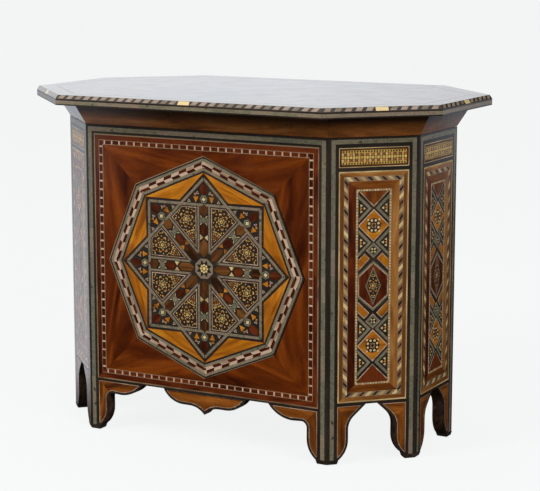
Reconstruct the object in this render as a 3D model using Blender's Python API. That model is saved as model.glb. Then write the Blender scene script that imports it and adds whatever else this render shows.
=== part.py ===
"""Inlaid wooden box: a long octagonal chest on bracket feet, with a hinged lid over a deep well.

World frame in metres: +X to the right along the front, +Y from front to back, +Z up.
The origin is on the floor under the middle of the box. Left and right are as seen from outside a face.
"""

import math

import bmesh
import bpy
from mathutils import Matrix, Vector

# Overall sizes of the chest below the lid.
FRONT_WIDTH = 0.440
NARROW_WIDTH = 0.147
SEAM_HEIGHT = 0.510
WALL = 0.020

# Corner posts and the feet under them.
POST_FACE = 0.015
FOOT_FACE = 0.019
FOOT_HEIGHT = 0.006
FOOT_LIP = 0.0008
FOOT_TAPER = 0.0018

# Lower edges of the panels, and the brackets that hang below them.
LONG_PANEL_FOOT = 0.086
NARROW_PANEL_FOOT = 0.094
LEG_WIDTH = 0.035
CALF_HEIGHT = 0.038
LONG_REACH = 0.103
LOBE_END = 0.060
LOBE_HEIGHT = 0.064
ELBOW_RISE = 0.001
ELBOW_RADIUS = 0.0095
ARCH_REACH = 0.0635
ARCH_SHOULDER_HEIGHT = 0.055
ARCH_SHOULDER_RADIUS = 0.028
ARCH_SLOPE_DEG = 43.0

# Pendant in the middle of each long apron.
PENDANT_HALF_WIDTH = 0.0765
PENDANT_LOBE_END = 0.040
PENDANT_TIP_START = 0.027
PENDANT_TIP_HEIGHT = 0.0515

# Lid: a bevelled board on a ring of splayed cornice pieces.
CORNICE_HEIGHT = 0.034
CORNICE_PROJECTION = 0.020
LID_THICKNESS = 0.016
LID_OVERHANG_LONG = 0.058
LID_OVERHANG_END = 0.048
LID_OVERHANG_CORNER = 0.053
LID_BEVEL_RUN = 0.004
LID_BEVEL_RISE = 0.006

# Floor of the well.
FLOOR_UNDERSIDE = 0.110
FLOOR_THICKNESS = 0.010
FLOOR_CLEARANCE = 0.0008
CLEAT_SIZE = 0.015
CLEAT_SHORTFALL = 0.012

# Butt hinges let into the rear of the seam.
HINGE_SPACING = 0.280
LEAF_LENGTH = 0.060
LEAF_WIDTH = 0.016
LEAF_THICKNESS = 0.0015
KNUCKLE_RADIUS = 0.0032
KNUCKLE_COUNT = 5
KNUCKLE_STANDOFF = 0.0010
TONGUE_INSET = 0.0002
PIN_RADIUS = 0.0015
PIN_CLEARANCE = 0.00008
PIN_HEAD_RADIUS = 0.0025
PIN_HEAD_LENGTH = 0.0012
SCREW_SPACING = 0.021
SCREW_SETBACK = 0.0095
SCREW_HEAD_RADIUS = 0.0024
SCREW_SHANK_RADIUS = 0.0011
SCREW_LENGTH = 0.011

# Clearances.
JOINT_GAP = 0.0003
SEAM_GAP = 0.0006
SWING_CLEARANCE = 0.0004

# Fineness of round shapes, and the angle above which an edge stays sharp.
ROUND_SEGMENTS = 24
SCREW_SEGMENTS = 12
ARC_STEPS = 8
SHARP_ANGLE_DEG = 35.0

TURN = math.radians(45)
HALF_TURN = TURN / 2
MITRE = math.tan(HALF_TURN)

# What follows from the sizes above.
CORNER_LEG = NARROW_WIDTH * math.cos(TURN)
BODY_HALF_LENGTH = FRONT_WIDTH / 2 + CORNER_LEG
BODY_HALF_DEPTH = NARROW_WIDTH / 2 + CORNER_LEG
CORNER_DISTANCE = (BODY_HALF_LENGTH + BODY_HALF_DEPTH - CORNER_LEG) * math.cos(TURN)
BODY_TOP = SEAM_HEIGHT - SEAM_GAP / 2
LID_BOTTOM = SEAM_HEIGHT + SEAM_GAP / 2
CORNICE_TOP = SEAM_HEIGHT + CORNICE_HEIGHT - JOINT_GAP
LID_UNDERSIDE = SEAM_HEIGHT + CORNICE_HEIGHT
LID_TOP = LID_UNDERSIDE + LID_THICKNESS
HINGE_AXIS_Y = -(KNUCKLE_RADIUS + KNUCKLE_STANDOFF)

# The eight faces, counter-clockwise seen from above, each an eighth of a turn after the one before.
FACE_NAMES = (
    "front",
    "front_right",
    "right",
    "rear_right",
    "rear",
    "rear_left",
    "left",
    "front_left",
)
FACE_DISTANCES = (BODY_HALF_DEPTH, CORNER_DISTANCE, BODY_HALF_LENGTH, CORNER_DISTANCE) * 2
FACE_WIDTHS = (FRONT_WIDTH, NARROW_WIDTH, NARROW_WIDTH, NARROW_WIDTH) * 2
LID_OVERHANGS = (LID_OVERHANG_LONG, LID_OVERHANG_CORNER, LID_OVERHANG_END, LID_OVERHANG_CORNER) * 2
LONG_FACES = (0, 4)
REAR_FACE = 4

# The corner after each face, named by the face that it is nearest to and then its side.
CORNER_NAMES = (
    "front_right",
    "right_front",
    "right_rear",
    "rear_right",
    "rear_left",
    "left_rear",
    "left_front",
    "front_left",
)


def clear_scene():
    """Removes every object that the file opened with."""
    for thing in list(bpy.data.objects):
        bpy.data.objects.remove(thing)


def finish_material(name, colour, roughness, metallic=0.0):
    """A Principled material of one colour."""
    material = bpy.data.materials.new(name)
    material.use_nodes = True
    shader = material.node_tree.nodes["Principled BSDF"]
    shader.inputs["Base Color"].default_value = (*colour, 1.0)
    shader.inputs["Roughness"].default_value = roughness
    shader.inputs["Metallic"].default_value = metallic
    return material


def make_materials():
    """The woods and metals of the box, by slot name."""
    return {
        "walnut_field": finish_material("walnut_field", (0.17, 0.05, 0.022), 0.25),
        "ebonised_wood": finish_material("ebonised_wood", (0.022, 0.017, 0.013), 0.3),
        "apron_walnut": finish_material("apron_walnut", (0.27, 0.09, 0.03), 0.28),
        "cornice_walnut": finish_material("cornice_walnut", (0.12, 0.04, 0.018), 0.25),
        "lid_walnut": finish_material("lid_walnut", (0.2, 0.07, 0.03), 0.12),
        "beech": finish_material("beech", (0.45, 0.3, 0.18), 0.6),
        "brass": finish_material("brass", (0.6, 0.42, 0.16), 0.35, 1.0),
    }


def object_from_bmesh(name, shape, material):
    """Turns a bmesh into a linked object with outward faces."""
    bmesh.ops.recalc_face_normals(shape, faces=shape.faces)
    mesh = bpy.data.meshes.new(name)
    shape.to_mesh(mesh)
    shape.free()
    mesh.materials.append(material)
    thing = bpy.data.objects.new(name, mesh)
    bpy.context.scene.collection.objects.link(thing)
    return thing


def at_height(plan, z):
    """The points of a plan at one height."""
    return [(x, y, z) for x, y in plan]


def add_loft(shape, lower, upper):
    """Adds the closed solid between two loops of the same number of points."""
    low = [shape.verts.new(point) for point in lower]
    high = [shape.verts.new(point) for point in upper]
    shape.faces.new(low)
    shape.faces.new(high)
    count = len(low)
    for i in range(count):
        j = (i + 1) % count
        shape.faces.new((low[i], low[j], high[j], high[i]))


def loft(name, lower, upper, material):
    """A closed solid between two loops of the same number of points."""
    shape = bmesh.new()
    add_loft(shape, lower, upper)
    return object_from_bmesh(name, shape, material)


def plate(name, outline, near, far, material):
    """An outline in the X-Z plane, carried from Y = near to Y = far."""
    front = [(x, near, z) for x, z in outline]
    back = [(x, far, z) for x, z in outline]
    return loft(name, front, back, material)


def add_box(shape, low, high):
    """Adds a box between two corners."""
    plan = [(low[0], low[1]), (high[0], low[1]), (high[0], high[1]), (low[0], high[1])]
    add_loft(shape, at_height(plan, low[2]), at_height(plan, high[2]))


def box(name, low, high, material):
    """A box between two corners."""
    shape = bmesh.new()
    add_box(shape, low, high)
    return object_from_bmesh(name, shape, material)


def add_turned(shape, profile, segments, matrix):
    """Adds a solid turned about local Z from (radius, z) points whose first and last radius are zero."""
    rings = []
    for radius, z in profile:
        if radius == 0.0:
            rings.append([shape.verts.new(matrix @ Vector((0.0, 0.0, z)))])
            continue
        ring = []
        for i in range(segments):
            angle = math.tau * i / segments
            point = Vector((radius * math.cos(angle), radius * math.sin(angle), z))
            ring.append(shape.verts.new(matrix @ point))
        rings.append(ring)
    for first, second in zip(rings, rings[1:]):
        for i in range(segments):
            j = (i + 1) % segments
            outer = [first[i % len(first)], first[j % len(first)]]
            inner = [second[j % len(second)], second[i % len(second)]]
            # A ring of one point gives a triangle.
            shape.faces.new(list(dict.fromkeys(outer + inner)))


def turned(name, profile, segments, matrix, material):
    """A solid turned about the local Z of a matrix."""
    shape = bmesh.new()
    add_turned(shape, profile, segments, matrix)
    return object_from_bmesh(name, shape, material)


def combine(target, others, operation):
    """Applies one Boolean after another to the target, and removes the other solids."""
    for other in others:
        modifier = target.modifiers.new(operation.lower(), "BOOLEAN")
        modifier.operation = operation
        modifier.object = other
    evaluated = target.evaluated_get(bpy.context.evaluated_depsgraph_get())
    result = bpy.data.meshes.new_from_object(evaluated)
    target.modifiers.clear()
    target.data = result
    for other in others:
        bpy.data.objects.remove(other)
    return target


def place(thing, matrix):
    """Sets an object down with the given frame."""
    thing.matrix_world = matrix
    return thing


def octagon(overhangs):
    """Corner points of the plan with each face moved outwards by its overhang, starting after face 0."""
    points = []
    for face in range(8):
        after = (face + 1) % 8
        this_angle = TURN * face
        next_angle = TURN * (face + 1)
        this_distance = FACE_DISTANCES[face] + overhangs[face]
        next_distance = FACE_DISTANCES[after] + overhangs[after]
        # Each face lies on sin(a) * x - cos(a) * y = distance.
        across = math.sin(next_angle - this_angle)
        x = (math.cos(this_angle) * next_distance - math.cos(next_angle) * this_distance) / across
        y = (math.sin(this_angle) * next_distance - math.sin(next_angle) * this_distance) / across
        points.append((x, y))
    return points


def face_matrix(face):
    """Frame of a face, at its middle on the floor: X to its right, Y inwards, Z up."""
    corners = octagon((0.0,) * 8)
    left = Vector((*corners[face - 1], 0.0))
    right = Vector((*corners[face], 0.0))
    return Matrix.Translation((left + right) / 2) @ Matrix.Rotation(TURN * face, 4, "Z")


def corner_matrix(corner):
    """Frame of a corner, at its outer edge: Y runs inwards along the line that halves it."""
    x, y = octagon((0.0,) * 8)[corner]
    return Matrix.Translation((x, y, 0.0)) @ Matrix.Rotation(TURN * corner + HALF_TURN, 4, "Z")


def corner_section(reach, depth, lip):
    """Plan of a solid that wraps a corner: reach along each face, lip outside it, depth inside."""
    along = Vector((math.cos(HALF_TURN), math.sin(HALF_TURN)))
    inwards = Vector((-math.sin(HALF_TURN), math.cos(HALF_TURN)))
    outer = along * reach - inwards * lip
    inner = along * reach + inwards * depth
    apex = (0.0, -lip / math.cos(HALF_TURN))
    heel = (0.0, depth / math.cos(HALF_TURN))
    return [apex, tuple(outer), tuple(inner), heel, (-inner.x, inner.y), (-outer.x, outer.y)]


def make_post(corner, material):
    """Full-height corner post."""
    plan = corner_section(POST_FACE, WALL, 0.0)
    name = f"post_{CORNER_NAMES[corner]}"
    low = FOOT_HEIGHT + JOINT_GAP
    post = loft(name, at_height(plan, low), at_height(plan, BODY_TOP), material)
    return place(post, corner_matrix(corner))


def make_foot(corner, material):
    """Small tapered block under a post."""
    top = corner_section(FOOT_FACE, WALL, FOOT_LIP)
    bottom = corner_section(FOOT_FACE - FOOT_TAPER, WALL - FOOT_TAPER, FOOT_LIP - FOOT_TAPER)
    name = f"foot_{CORNER_NAMES[corner]}"
    foot = loft(name, at_height(bottom, 0.0), at_height(top, FOOT_HEIGHT), material)
    return place(foot, corner_matrix(corner))


def panel_foot(face):
    """Height of a panel's lower edge."""
    return LONG_PANEL_FOOT if face in LONG_FACES else NARROW_PANEL_FOOT


def make_panel(face, material):
    """Wall panel between two posts."""
    half = FACE_WIDTHS[face] / 2 - POST_FACE - JOINT_GAP
    low = (-half, 0.0, panel_foot(face))
    high = (half, WALL, BODY_TOP)
    return place(box(f"panel_{FACE_NAMES[face]}", low, high, material), face_matrix(face))


def arc(centre, radius, start_deg, end_deg):
    """Points along a circular arc, both ends included."""
    points = []
    for i in range(ARC_STEPS + 1):
        angle = math.radians(start_deg + (end_deg - start_deg) * i / ARC_STEPS)
        x = centre[0] + radius * math.cos(angle)
        z = centre[1] + radius * math.sin(angle)
        points.append((x, z))
    return points


def level_arc_radius(run, rise):
    """Radius of the arc that starts level and has risen by rise after run."""
    return (run * run + rise * rise) / (2 * rise)


def lobe(end, tip, height, top):
    """Arc of an apron's lobe, from its tip at the top down to where it runs level."""
    radius = level_arc_radius(tip - end, top - height)
    sweep = math.degrees(math.asin((tip - end) / radius))
    return arc((end, height + radius), radius, -90 + sweep, -90)


def calf():
    """The leg's edge, from plumb at the calf down to the foot block."""
    low = FOOT_HEIGHT + JOINT_GAP
    radius = level_arc_radius(CALF_HEIGHT - low, LEG_WIDTH - FOOT_FACE)
    sweep = math.degrees(math.asin((CALF_HEIGHT - low) / radius))
    return arc((LEG_WIDTH - radius, CALF_HEIGHT), radius, 0, -sweep)


def long_bracket_outline(top):
    """Lobe, round elbow and leg of a long face. X is the distance from the face's corner."""
    elbow_centre = (LEG_WIDTH + ELBOW_RADIUS, LOBE_HEIGHT + ELBOW_RISE - ELBOW_RADIUS)
    points = lobe(LOBE_END, LONG_REACH, LOBE_HEIGHT, top)
    points += arc(elbow_centre, ELBOW_RADIUS, 90, 180)
    return points + calf()


def arch_bracket_outline(top):
    """Straight slope that turns plumb at the shoulder, and leg, of a narrow face."""
    shoulder_centre = (LEG_WIDTH + ARCH_SHOULDER_RADIUS, ARCH_SHOULDER_HEIGHT)
    points = [(ARCH_REACH, top)]
    points += arc(shoulder_centre, ARCH_SHOULDER_RADIUS, 90 + ARCH_SLOPE_DEG, 180)
    return points + calf()


def make_bracket(face, side, material):
    """Bracket foot beside one post of a face: side is -1 for the left one and 1 for the right one."""
    top = panel_foot(face) - JOINT_GAP
    edge = long_bracket_outline(top) if face in LONG_FACES else arch_bracket_outline(top)
    heel = POST_FACE + JOINT_GAP
    edge += [(heel, FOOT_HEIGHT + JOINT_GAP), (heel, top)]
    half = FACE_WIDTHS[face] / 2
    outline = [(side * (half - distance), z) for distance, z in edge]
    name = f"bracket_{FACE_NAMES[face]}_{'l' if side < 0 else 'r'}"
    return place(plate(name, outline, 0.0, WALL, material), face_matrix(face))


def make_pendant(face, material):
    """Pointed apron piece in the middle of a long face."""
    top = panel_foot(face) - JOINT_GAP
    half = lobe(PENDANT_LOBE_END, PENDANT_HALF_WIDTH, LOBE_HEIGHT, top)
    drop = LOBE_HEIGHT - PENDANT_TIP_HEIGHT
    radius = level_arc_radius(PENDANT_TIP_START, drop)
    sweep = math.degrees(math.asin(PENDANT_TIP_START / radius))
    half += arc((PENDANT_TIP_START, LOBE_HEIGHT - radius), radius, 90, 90 + sweep)
    mirrored = [(-x, z) for x, z in reversed(half[:-1])]
    name = f"pendant_{FACE_NAMES[face]}"
    return place(plate(name, half + mirrored, 0.0, WALL, material), face_matrix(face))


def make_floor(material):
    """Board that closes the bottom of the well."""
    plan = octagon((-(WALL + FLOOR_CLEARANCE),) * 8)
    low = FLOOR_UNDERSIDE + JOINT_GAP
    high = low + FLOOR_THICKNESS
    return loft("floor_board", at_height(plan, low), at_height(plan, high), material)


def make_cleat(face, material):
    """Strip inside a long panel, which carries one edge of the floor board."""
    half = FACE_WIDTHS[face] / 2 - (WALL + CLEAT_SIZE) * MITRE - CLEAT_SHORTFALL
    near = WALL + JOINT_GAP
    low = (-half, near, FLOOR_UNDERSIDE - CLEAT_SIZE)
    high = (half, near + CLEAT_SIZE, FLOOR_UNDERSIDE)
    return place(box(f"floor_cleat_{FACE_NAMES[face]}", low, high, material), face_matrix(face))


def make_cornice(face, material):
    """One mitred piece of the splayed moulding under the lid board."""
    rows = (
        (0.0, LID_BOTTOM),
        (CORNICE_PROJECTION, CORNICE_TOP),
        (-WALL, CORNICE_TOP),
        (-WALL, LID_BOTTOM),
    )
    ends = []
    for side in (-1, 1):
        loop = []
        for outset, z in rows:
            half = FACE_WIDTHS[face] / 2 + outset * MITRE - JOINT_GAP / 2
            loop.append((side * half, -outset, z))
        ends.append(loop)
    return place(loft(f"cornice_{FACE_NAMES[face]}", ends[0], ends[1], material), face_matrix(face))


def make_lid_board(material):
    """Eight-sided board with a bevelled upper edge."""
    full = octagon(LID_OVERHANGS)
    inset = octagon([overhang - LID_BEVEL_RUN for overhang in LID_OVERHANGS])
    loops = (
        at_height(full, LID_UNDERSIDE),
        at_height(full, LID_TOP - LID_BEVEL_RISE),
        at_height(inset, LID_TOP),
    )
    shape = bmesh.new()
    rows = [[shape.verts.new(point) for point in loop] for loop in loops]
    for lower, upper in zip(rows, rows[1:]):
        for i in range(8):
            j = (i + 1) % 8
            shape.faces.new((lower[i], lower[j], upper[j], upper[i]))
    shape.faces.new(rows[0])
    shape.faces.new(rows[-1])
    return object_from_bmesh("lid_board", shape, material)


def hinge_centres():
    """Places of the two hinges along the rear face, by letter."""
    return {"a": -HINGE_SPACING / 2, "b": HINGE_SPACING / 2}


def screw_places(centre):
    """Places of a leaf's screws along the rear face."""
    return [centre + step * SCREW_SPACING for step in (-1, 0, 1)]


def screw_matrix(x, upwards):
    """Frame of a hinge screw's hole: Z out of its mouth, at the leaf's meeting face."""
    if upwards:
        turn = Matrix.Rotation(math.pi, 4, "X")
        return Matrix.Translation((x, SCREW_SETBACK, LID_BOTTOM)) @ turn
    return Matrix.Translation((x, SCREW_SETBACK, BODY_TOP))


def screw_hole_profile():
    """Countersunk hole from its point to its mouth, carried past the leaf for a clean cut."""
    countersink = SCREW_HEAD_RADIUS - SCREW_SHANK_RADIUS
    return [
        (0.0, -SCREW_LENGTH),
        (SCREW_SHANK_RADIUS, SCREW_SHANK_RADIUS - SCREW_LENGTH),
        (SCREW_SHANK_RADIUS, -countersink),
        (SCREW_HEAD_RADIUS, 0.0),
        (SCREW_HEAD_RADIUS, SEAM_GAP),
        (0.0, SEAM_GAP),
    ]


def screw_holes(centre, upwards, material):
    """Cutters for the screw holes of one leaf."""
    cutters = []
    for x in screw_places(centre):
        matrix = screw_matrix(x, upwards)
        cutters.append(turned("screw_hole", screw_hole_profile(), SCREW_SEGMENTS, matrix, material))
    return cutters


def leaf_heights(upwards):
    """Lowest and highest z of a leaf's plate."""
    if upwards:
        return LID_BOTTOM, LID_BOTTOM + LEAF_THICKNESS
    return BODY_TOP - LEAF_THICKNESS, BODY_TOP


def cut_mortises(piece, upwards, material):
    """Lets both leaves and their screws into the piece they are screwed to."""
    low, high = leaf_heights(upwards)
    bottom = LID_BOTTOM - SEAM_GAP if upwards else low - JOINT_GAP
    top = high + JOINT_GAP if upwards else BODY_TOP + SEAM_GAP
    half = LEAF_LENGTH / 2 + JOINT_GAP
    cutters = []
    for centre in hinge_centres().values():
        near = (centre - half, -WALL, bottom)
        far = (centre + half, LEAF_WIDTH + JOINT_GAP, top)
        cutters.append(box("mortise", near, far, material))
        cutters += screw_holes(centre, upwards, material)
    for cutter in cutters:
        cutter.matrix_world = face_matrix(REAR_FACE)
    return combine(piece, cutters, "DIFFERENCE")


def knuckle_spans(centre):
    """Start and end of each knuckle along the hinge, left to right."""
    pitch = LEAF_LENGTH / KNUCKLE_COUNT
    start = centre - LEAF_LENGTH / 2
    spans = []
    for i in range(KNUCKLE_COUNT):
        left = start + i * pitch
        right = left + pitch
        spans.append((left + JOINT_GAP / 2, right - JOINT_GAP / 2))
    return spans


def axis_matrix(x):
    """Frame on the hinge axis at x: Z along the axis."""
    turn = Matrix.Rotation(math.pi / 2, 4, "Y")
    return Matrix.Translation((x, HINGE_AXIS_Y, SEAM_HEIGHT)) @ turn


def barrel(name, start, end, radius, material):
    """Plain round bar on the hinge axis."""
    length = end - start
    profile = [(0.0, 0.0), (radius, 0.0), (radius, length), (0.0, length)]
    return turned(name, profile, ROUND_SEGMENTS, axis_matrix(start), material)


def leaf_plan(centre, spans):
    """Plan of a leaf's plate, with a tongue that reaches the hinge axis inside each of its knuckles."""
    free_edge = HINGE_AXIS_Y + KNUCKLE_RADIUS + SWING_CLEARANCE
    half = LEAF_LENGTH / 2
    plan = [(centre + half, LEAF_WIDTH), (centre - half, LEAF_WIDTH), (centre - half, free_edge)]
    for start, end in spans:
        left = start + TONGUE_INSET
        right = end - TONGUE_INSET
        plan += [(left, free_edge), (left, HINGE_AXIS_Y)]
        plan += [(right, HINGE_AXIS_Y), (right, free_edge)]
    return plan + [(centre + half, free_edge)]


def make_leaf(name, centre, upwards, material):
    """Hinge leaf: a plate with knuckles. The lid's leaf has the second and fourth of them."""
    low, high = leaf_heights(upwards)
    first = 1 if upwards else 0
    spans = knuckle_spans(centre)[first::2]
    plan = leaf_plan(centre, spans)
    leaf = loft(name, at_height(plan, low), at_height(plan, high), material)
    combine(leaf, screw_holes(centre, upwards, material), "DIFFERENCE")
    knuckles = [barrel("knuckle", start, end, KNUCKLE_RADIUS, material) for start, end in spans]
    combine(leaf, knuckles, "UNION")
    bore_radius = PIN_RADIUS + PIN_CLEARANCE
    bore = barrel("bore", centre - LEAF_LENGTH, centre + LEAF_LENGTH, bore_radius, material)
    combine(leaf, [bore], "DIFFERENCE")
    return place(leaf, face_matrix(REAR_FACE))


def make_pin(name, centre, material):
    """Hinge pin with a button head at either end."""
    reach = LEAF_LENGTH / 2 + JOINT_GAP
    end = reach + PIN_HEAD_LENGTH
    profile = [
        (0.0, -end),
        (PIN_HEAD_RADIUS, -end),
        (PIN_HEAD_RADIUS, -reach),
        (PIN_RADIUS, -reach),
        (PIN_RADIUS, reach),
        (PIN_HEAD_RADIUS, reach),
        (PIN_HEAD_RADIUS, end),
        (0.0, end),
    ]
    pin = turned(name, profile, ROUND_SEGMENTS, axis_matrix(centre), material)
    return place(pin, face_matrix(REAR_FACE))


def round_off(thing):
    """Shades a turned piece smooth and keeps its sharp edges."""
    thing.data.shade_smooth()
    thing.data.set_sharp_from_angle(angle=math.radians(SHARP_ANGLE_DEG))


def hang_on_lid(things):
    """Parents the lid's pieces to an empty on the hinge axis."""
    pivot = bpy.data.objects.new("lid_pivot", None)
    bpy.context.scene.collection.objects.link(pivot)
    pivot.location = (0.0, BODY_HALF_DEPTH - HINGE_AXIS_Y, SEAM_HEIGHT)
    bpy.context.view_layer.update()
    for thing in things:
        world = thing.matrix_world.copy()
        thing.parent = pivot
        thing.matrix_parent_inverse = pivot.matrix_world.inverted()
        thing.matrix_world = world


def make_body(materials):
    """Everything that stands still."""
    for index in range(8):
        make_post(index, materials["ebonised_wood"])
        make_foot(index, materials["ebonised_wood"])
        panel = make_panel(index, materials["walnut_field"])
        if index == REAR_FACE:
            cut_mortises(panel, False, materials["walnut_field"])
        for side in (-1, 1):
            make_bracket(index, side, materials["apron_walnut"])
    for face in LONG_FACES:
        make_pendant(face, materials["apron_walnut"])
    make_floor(materials["beech"])
    for face in LONG_FACES:
        make_cleat(face, materials["beech"])
    for letter, centre in hinge_centres().items():
        round_off(make_leaf(f"hinge_leaf_body_{letter}", centre, False, materials["brass"]))
        round_off(make_pin(f"hinge_pin_{letter}", centre, materials["brass"]))


def make_lid(materials):
    """Everything that swings up with the lid."""
    pieces = [make_lid_board(materials["lid_walnut"])]
    for face in range(8):
        cornice = make_cornice(face, materials["cornice_walnut"])
        if face == REAR_FACE:
            cut_mortises(cornice, True, materials["cornice_walnut"])
        pieces.append(cornice)
    for letter, centre in hinge_centres().items():
        leaf = make_leaf(f"hinge_leaf_lid_{letter}", centre, True, materials["brass"])
        round_off(leaf)
        pieces.append(leaf)
    hang_on_lid(pieces)


def main():
    """Builds the whole box."""
    clear_scene()
    materials = make_materials()
    make_body(materials)
    make_lid(materials)


main()
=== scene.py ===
"""Looks of the inlaid box: marquetry, stringing, finishes, hinge screws, light and camera.

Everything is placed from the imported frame. Marquetry is drawn flat on a face of the box, in
millimetres: u to the right as seen from outside, v up from the floor (or from the lower edge
of a lid side), and it is carried to its face at the end.
"""

import logging
import math
from dataclasses import dataclass, field, replace
from enum import Enum
from itertools import product

import bmesh
import bpy
from mathutils import Matrix, Vector


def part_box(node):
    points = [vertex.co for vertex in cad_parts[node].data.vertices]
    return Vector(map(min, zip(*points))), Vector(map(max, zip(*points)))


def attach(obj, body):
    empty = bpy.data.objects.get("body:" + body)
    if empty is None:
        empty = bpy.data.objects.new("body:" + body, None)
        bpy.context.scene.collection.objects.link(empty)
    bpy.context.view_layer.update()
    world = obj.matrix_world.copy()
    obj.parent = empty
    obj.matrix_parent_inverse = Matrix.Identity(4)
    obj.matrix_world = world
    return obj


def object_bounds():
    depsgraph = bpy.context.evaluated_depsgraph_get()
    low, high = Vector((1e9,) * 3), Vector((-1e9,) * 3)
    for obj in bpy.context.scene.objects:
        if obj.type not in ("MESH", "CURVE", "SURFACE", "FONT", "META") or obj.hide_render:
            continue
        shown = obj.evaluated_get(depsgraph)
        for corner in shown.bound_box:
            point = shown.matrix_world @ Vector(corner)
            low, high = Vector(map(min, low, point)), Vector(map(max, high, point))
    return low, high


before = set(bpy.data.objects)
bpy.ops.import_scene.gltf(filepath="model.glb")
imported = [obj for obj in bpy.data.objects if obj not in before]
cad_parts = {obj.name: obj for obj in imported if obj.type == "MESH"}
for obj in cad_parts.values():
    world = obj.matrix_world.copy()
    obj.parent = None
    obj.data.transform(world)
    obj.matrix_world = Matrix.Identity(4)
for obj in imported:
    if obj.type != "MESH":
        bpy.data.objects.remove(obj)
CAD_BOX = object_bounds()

Point = tuple[float, float]
Outline = list[Point]
Colour = tuple[float, float, float]
Socket = bpy.types.NodeSocket
Groups = dict[str, bpy.types.NodeTree]
Place = tuple[float, float, float, float, float]

LOG = logging.getLogger("inlaid_box")
MM = 0.001
EIGHTH = math.radians(45)
# An octagon's corners are further out than its sides by one over this.
OCTAGON = math.cos(EIGHTH / 2)
GRAIN_MAP = "grain"
TONE = "tone"
# Veneers stand this far out of the wood, and each layer above the first a step further.
VENEER_PROUD = 0.10
LAYER_STEP = 0.05
VENEER_ROOT = 0.05


# Plane geometry


def polar(radius: float, degrees: float) -> Point:
    """The point at a radius and an angle from the u axis."""
    return radius * math.cos(math.radians(degrees)), radius * math.sin(math.radians(degrees))


def turned(points: Outline, degrees: float) -> Outline:
    """The points turned about the origin."""
    c, s = math.cos(math.radians(degrees)), math.sin(math.radians(degrees))
    return [(u * c - v * s, u * s + v * c) for u, v in points]


def moved(points: Outline, du: float, dv: float) -> Outline:
    """The points moved."""
    return [(u + du, v + dv) for u, v in points]


def rectangle(left: float, low: float, right: float, high: float) -> Outline:
    """A rectangle's outline, from its lower left corner."""
    return [(left, low), (right, low), (right, high), (left, high)]


def bar(length: float, width: float) -> Outline:
    """A rectangular tile centred on its place."""
    return rectangle(-length / 2, -width / 2, length / 2, width / 2)


def slanted(length: float, width: float, lean: float) -> Outline:
    """A bar whose upper edge is shifted along it."""
    return [(u + (lean if v > 0 else -lean) / 2, v) for u, v in bar(length, width)]


def regular(sides: int, radius: float, first: float = 90.0) -> Outline:
    """A regular polygon with one corner at the first angle."""
    return [polar(radius, first + 360 * i / sides) for i in range(sides)]


def star(tips: int, outer: float, inner: float, first: float = 90.0) -> Outline:
    """A star with one tip at the first angle."""
    return [polar(inner if i % 2 else outer, first + 180 * i / tips) for i in range(2 * tips)]


def edges(points: Outline) -> list[tuple[Point, Point]]:
    """Each edge of an outline, as its two ends."""
    return list(zip(points, points[1:] + points[:1]))


def area(points: Outline) -> float:
    """Signed area, positive for an anticlockwise outline."""
    return sum(u * z - w * v for (u, v), (w, z) in edges(points)) / 2


def anticlockwise(points: Outline) -> Outline:
    """The outline, turned over if it is clockwise."""
    return list(points) if area(points) > 0 else list(reversed(points))


def inside(point: Point, outline: Outline) -> bool:
    """True if a point is inside a convex, anticlockwise outline."""
    x, y = point
    return all((b[0] - a[0]) * (y - a[1]) - (b[1] - a[1]) * (x - a[0]) >= 0 for a, b in edges(outline))


def inset(points: Outline, by: float | list[float]) -> Outline:
    """An outline with each edge moved inwards.

    Args:
        points: the outline, anticlockwise.
        by: one distance, or one for each edge, the first for the edge from point 0 to point 1.

    Returns:
        The new outline, with as many points.
    """
    steps = by if isinstance(by, list) else [by] * len(points)
    sides = []
    for (start, end), step in zip(edges(points), steps):
        a = Vector(start)
        along = (Vector(end) - a).normalized()
        sides.append((a + Vector((-along.y, along.x)) * step, along))
    made = []
    for i, (b, db) in enumerate(sides):
        a, da = sides[i - 1]
        cross = da.x * db.y - da.y * db.x
        gap = b - a
        parallel = abs(cross) < 1e-6
        made.append(tuple(b if parallel else a + da * ((gap.x * db.y - gap.y * db.x) / cross)))
    return made


def clipped(points: Outline, cutter: Outline) -> Outline:
    """The part of an outline inside a convex, anticlockwise one.

    Args:
        points: the outline to cut.
        cutter: the convex outline that is kept.

    Returns:
        The outline that is left, empty if nothing is.
    """
    kept = points
    for start, end in edges(cutter):
        a, edge = Vector(start), Vector(end) - Vector(start)
        out: Outline = []
        for j in range(len(kept)):
            p, q = Vector(kept[j - 1]), Vector(kept[j])
            dp = edge.x * (p.y - a.y) - edge.y * (p.x - a.x)
            dq = edge.x * (q.y - a.y) - edge.y * (q.x - a.x)
            if (dp > 0) != (dq > 0):
                out.append(tuple(p.lerp(q, dp / (dp - dq))))
            if dq > 0:
                out.append(tuple(q))
        kept = out
    return kept if len(kept) > 2 else []


# Node trees


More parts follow.
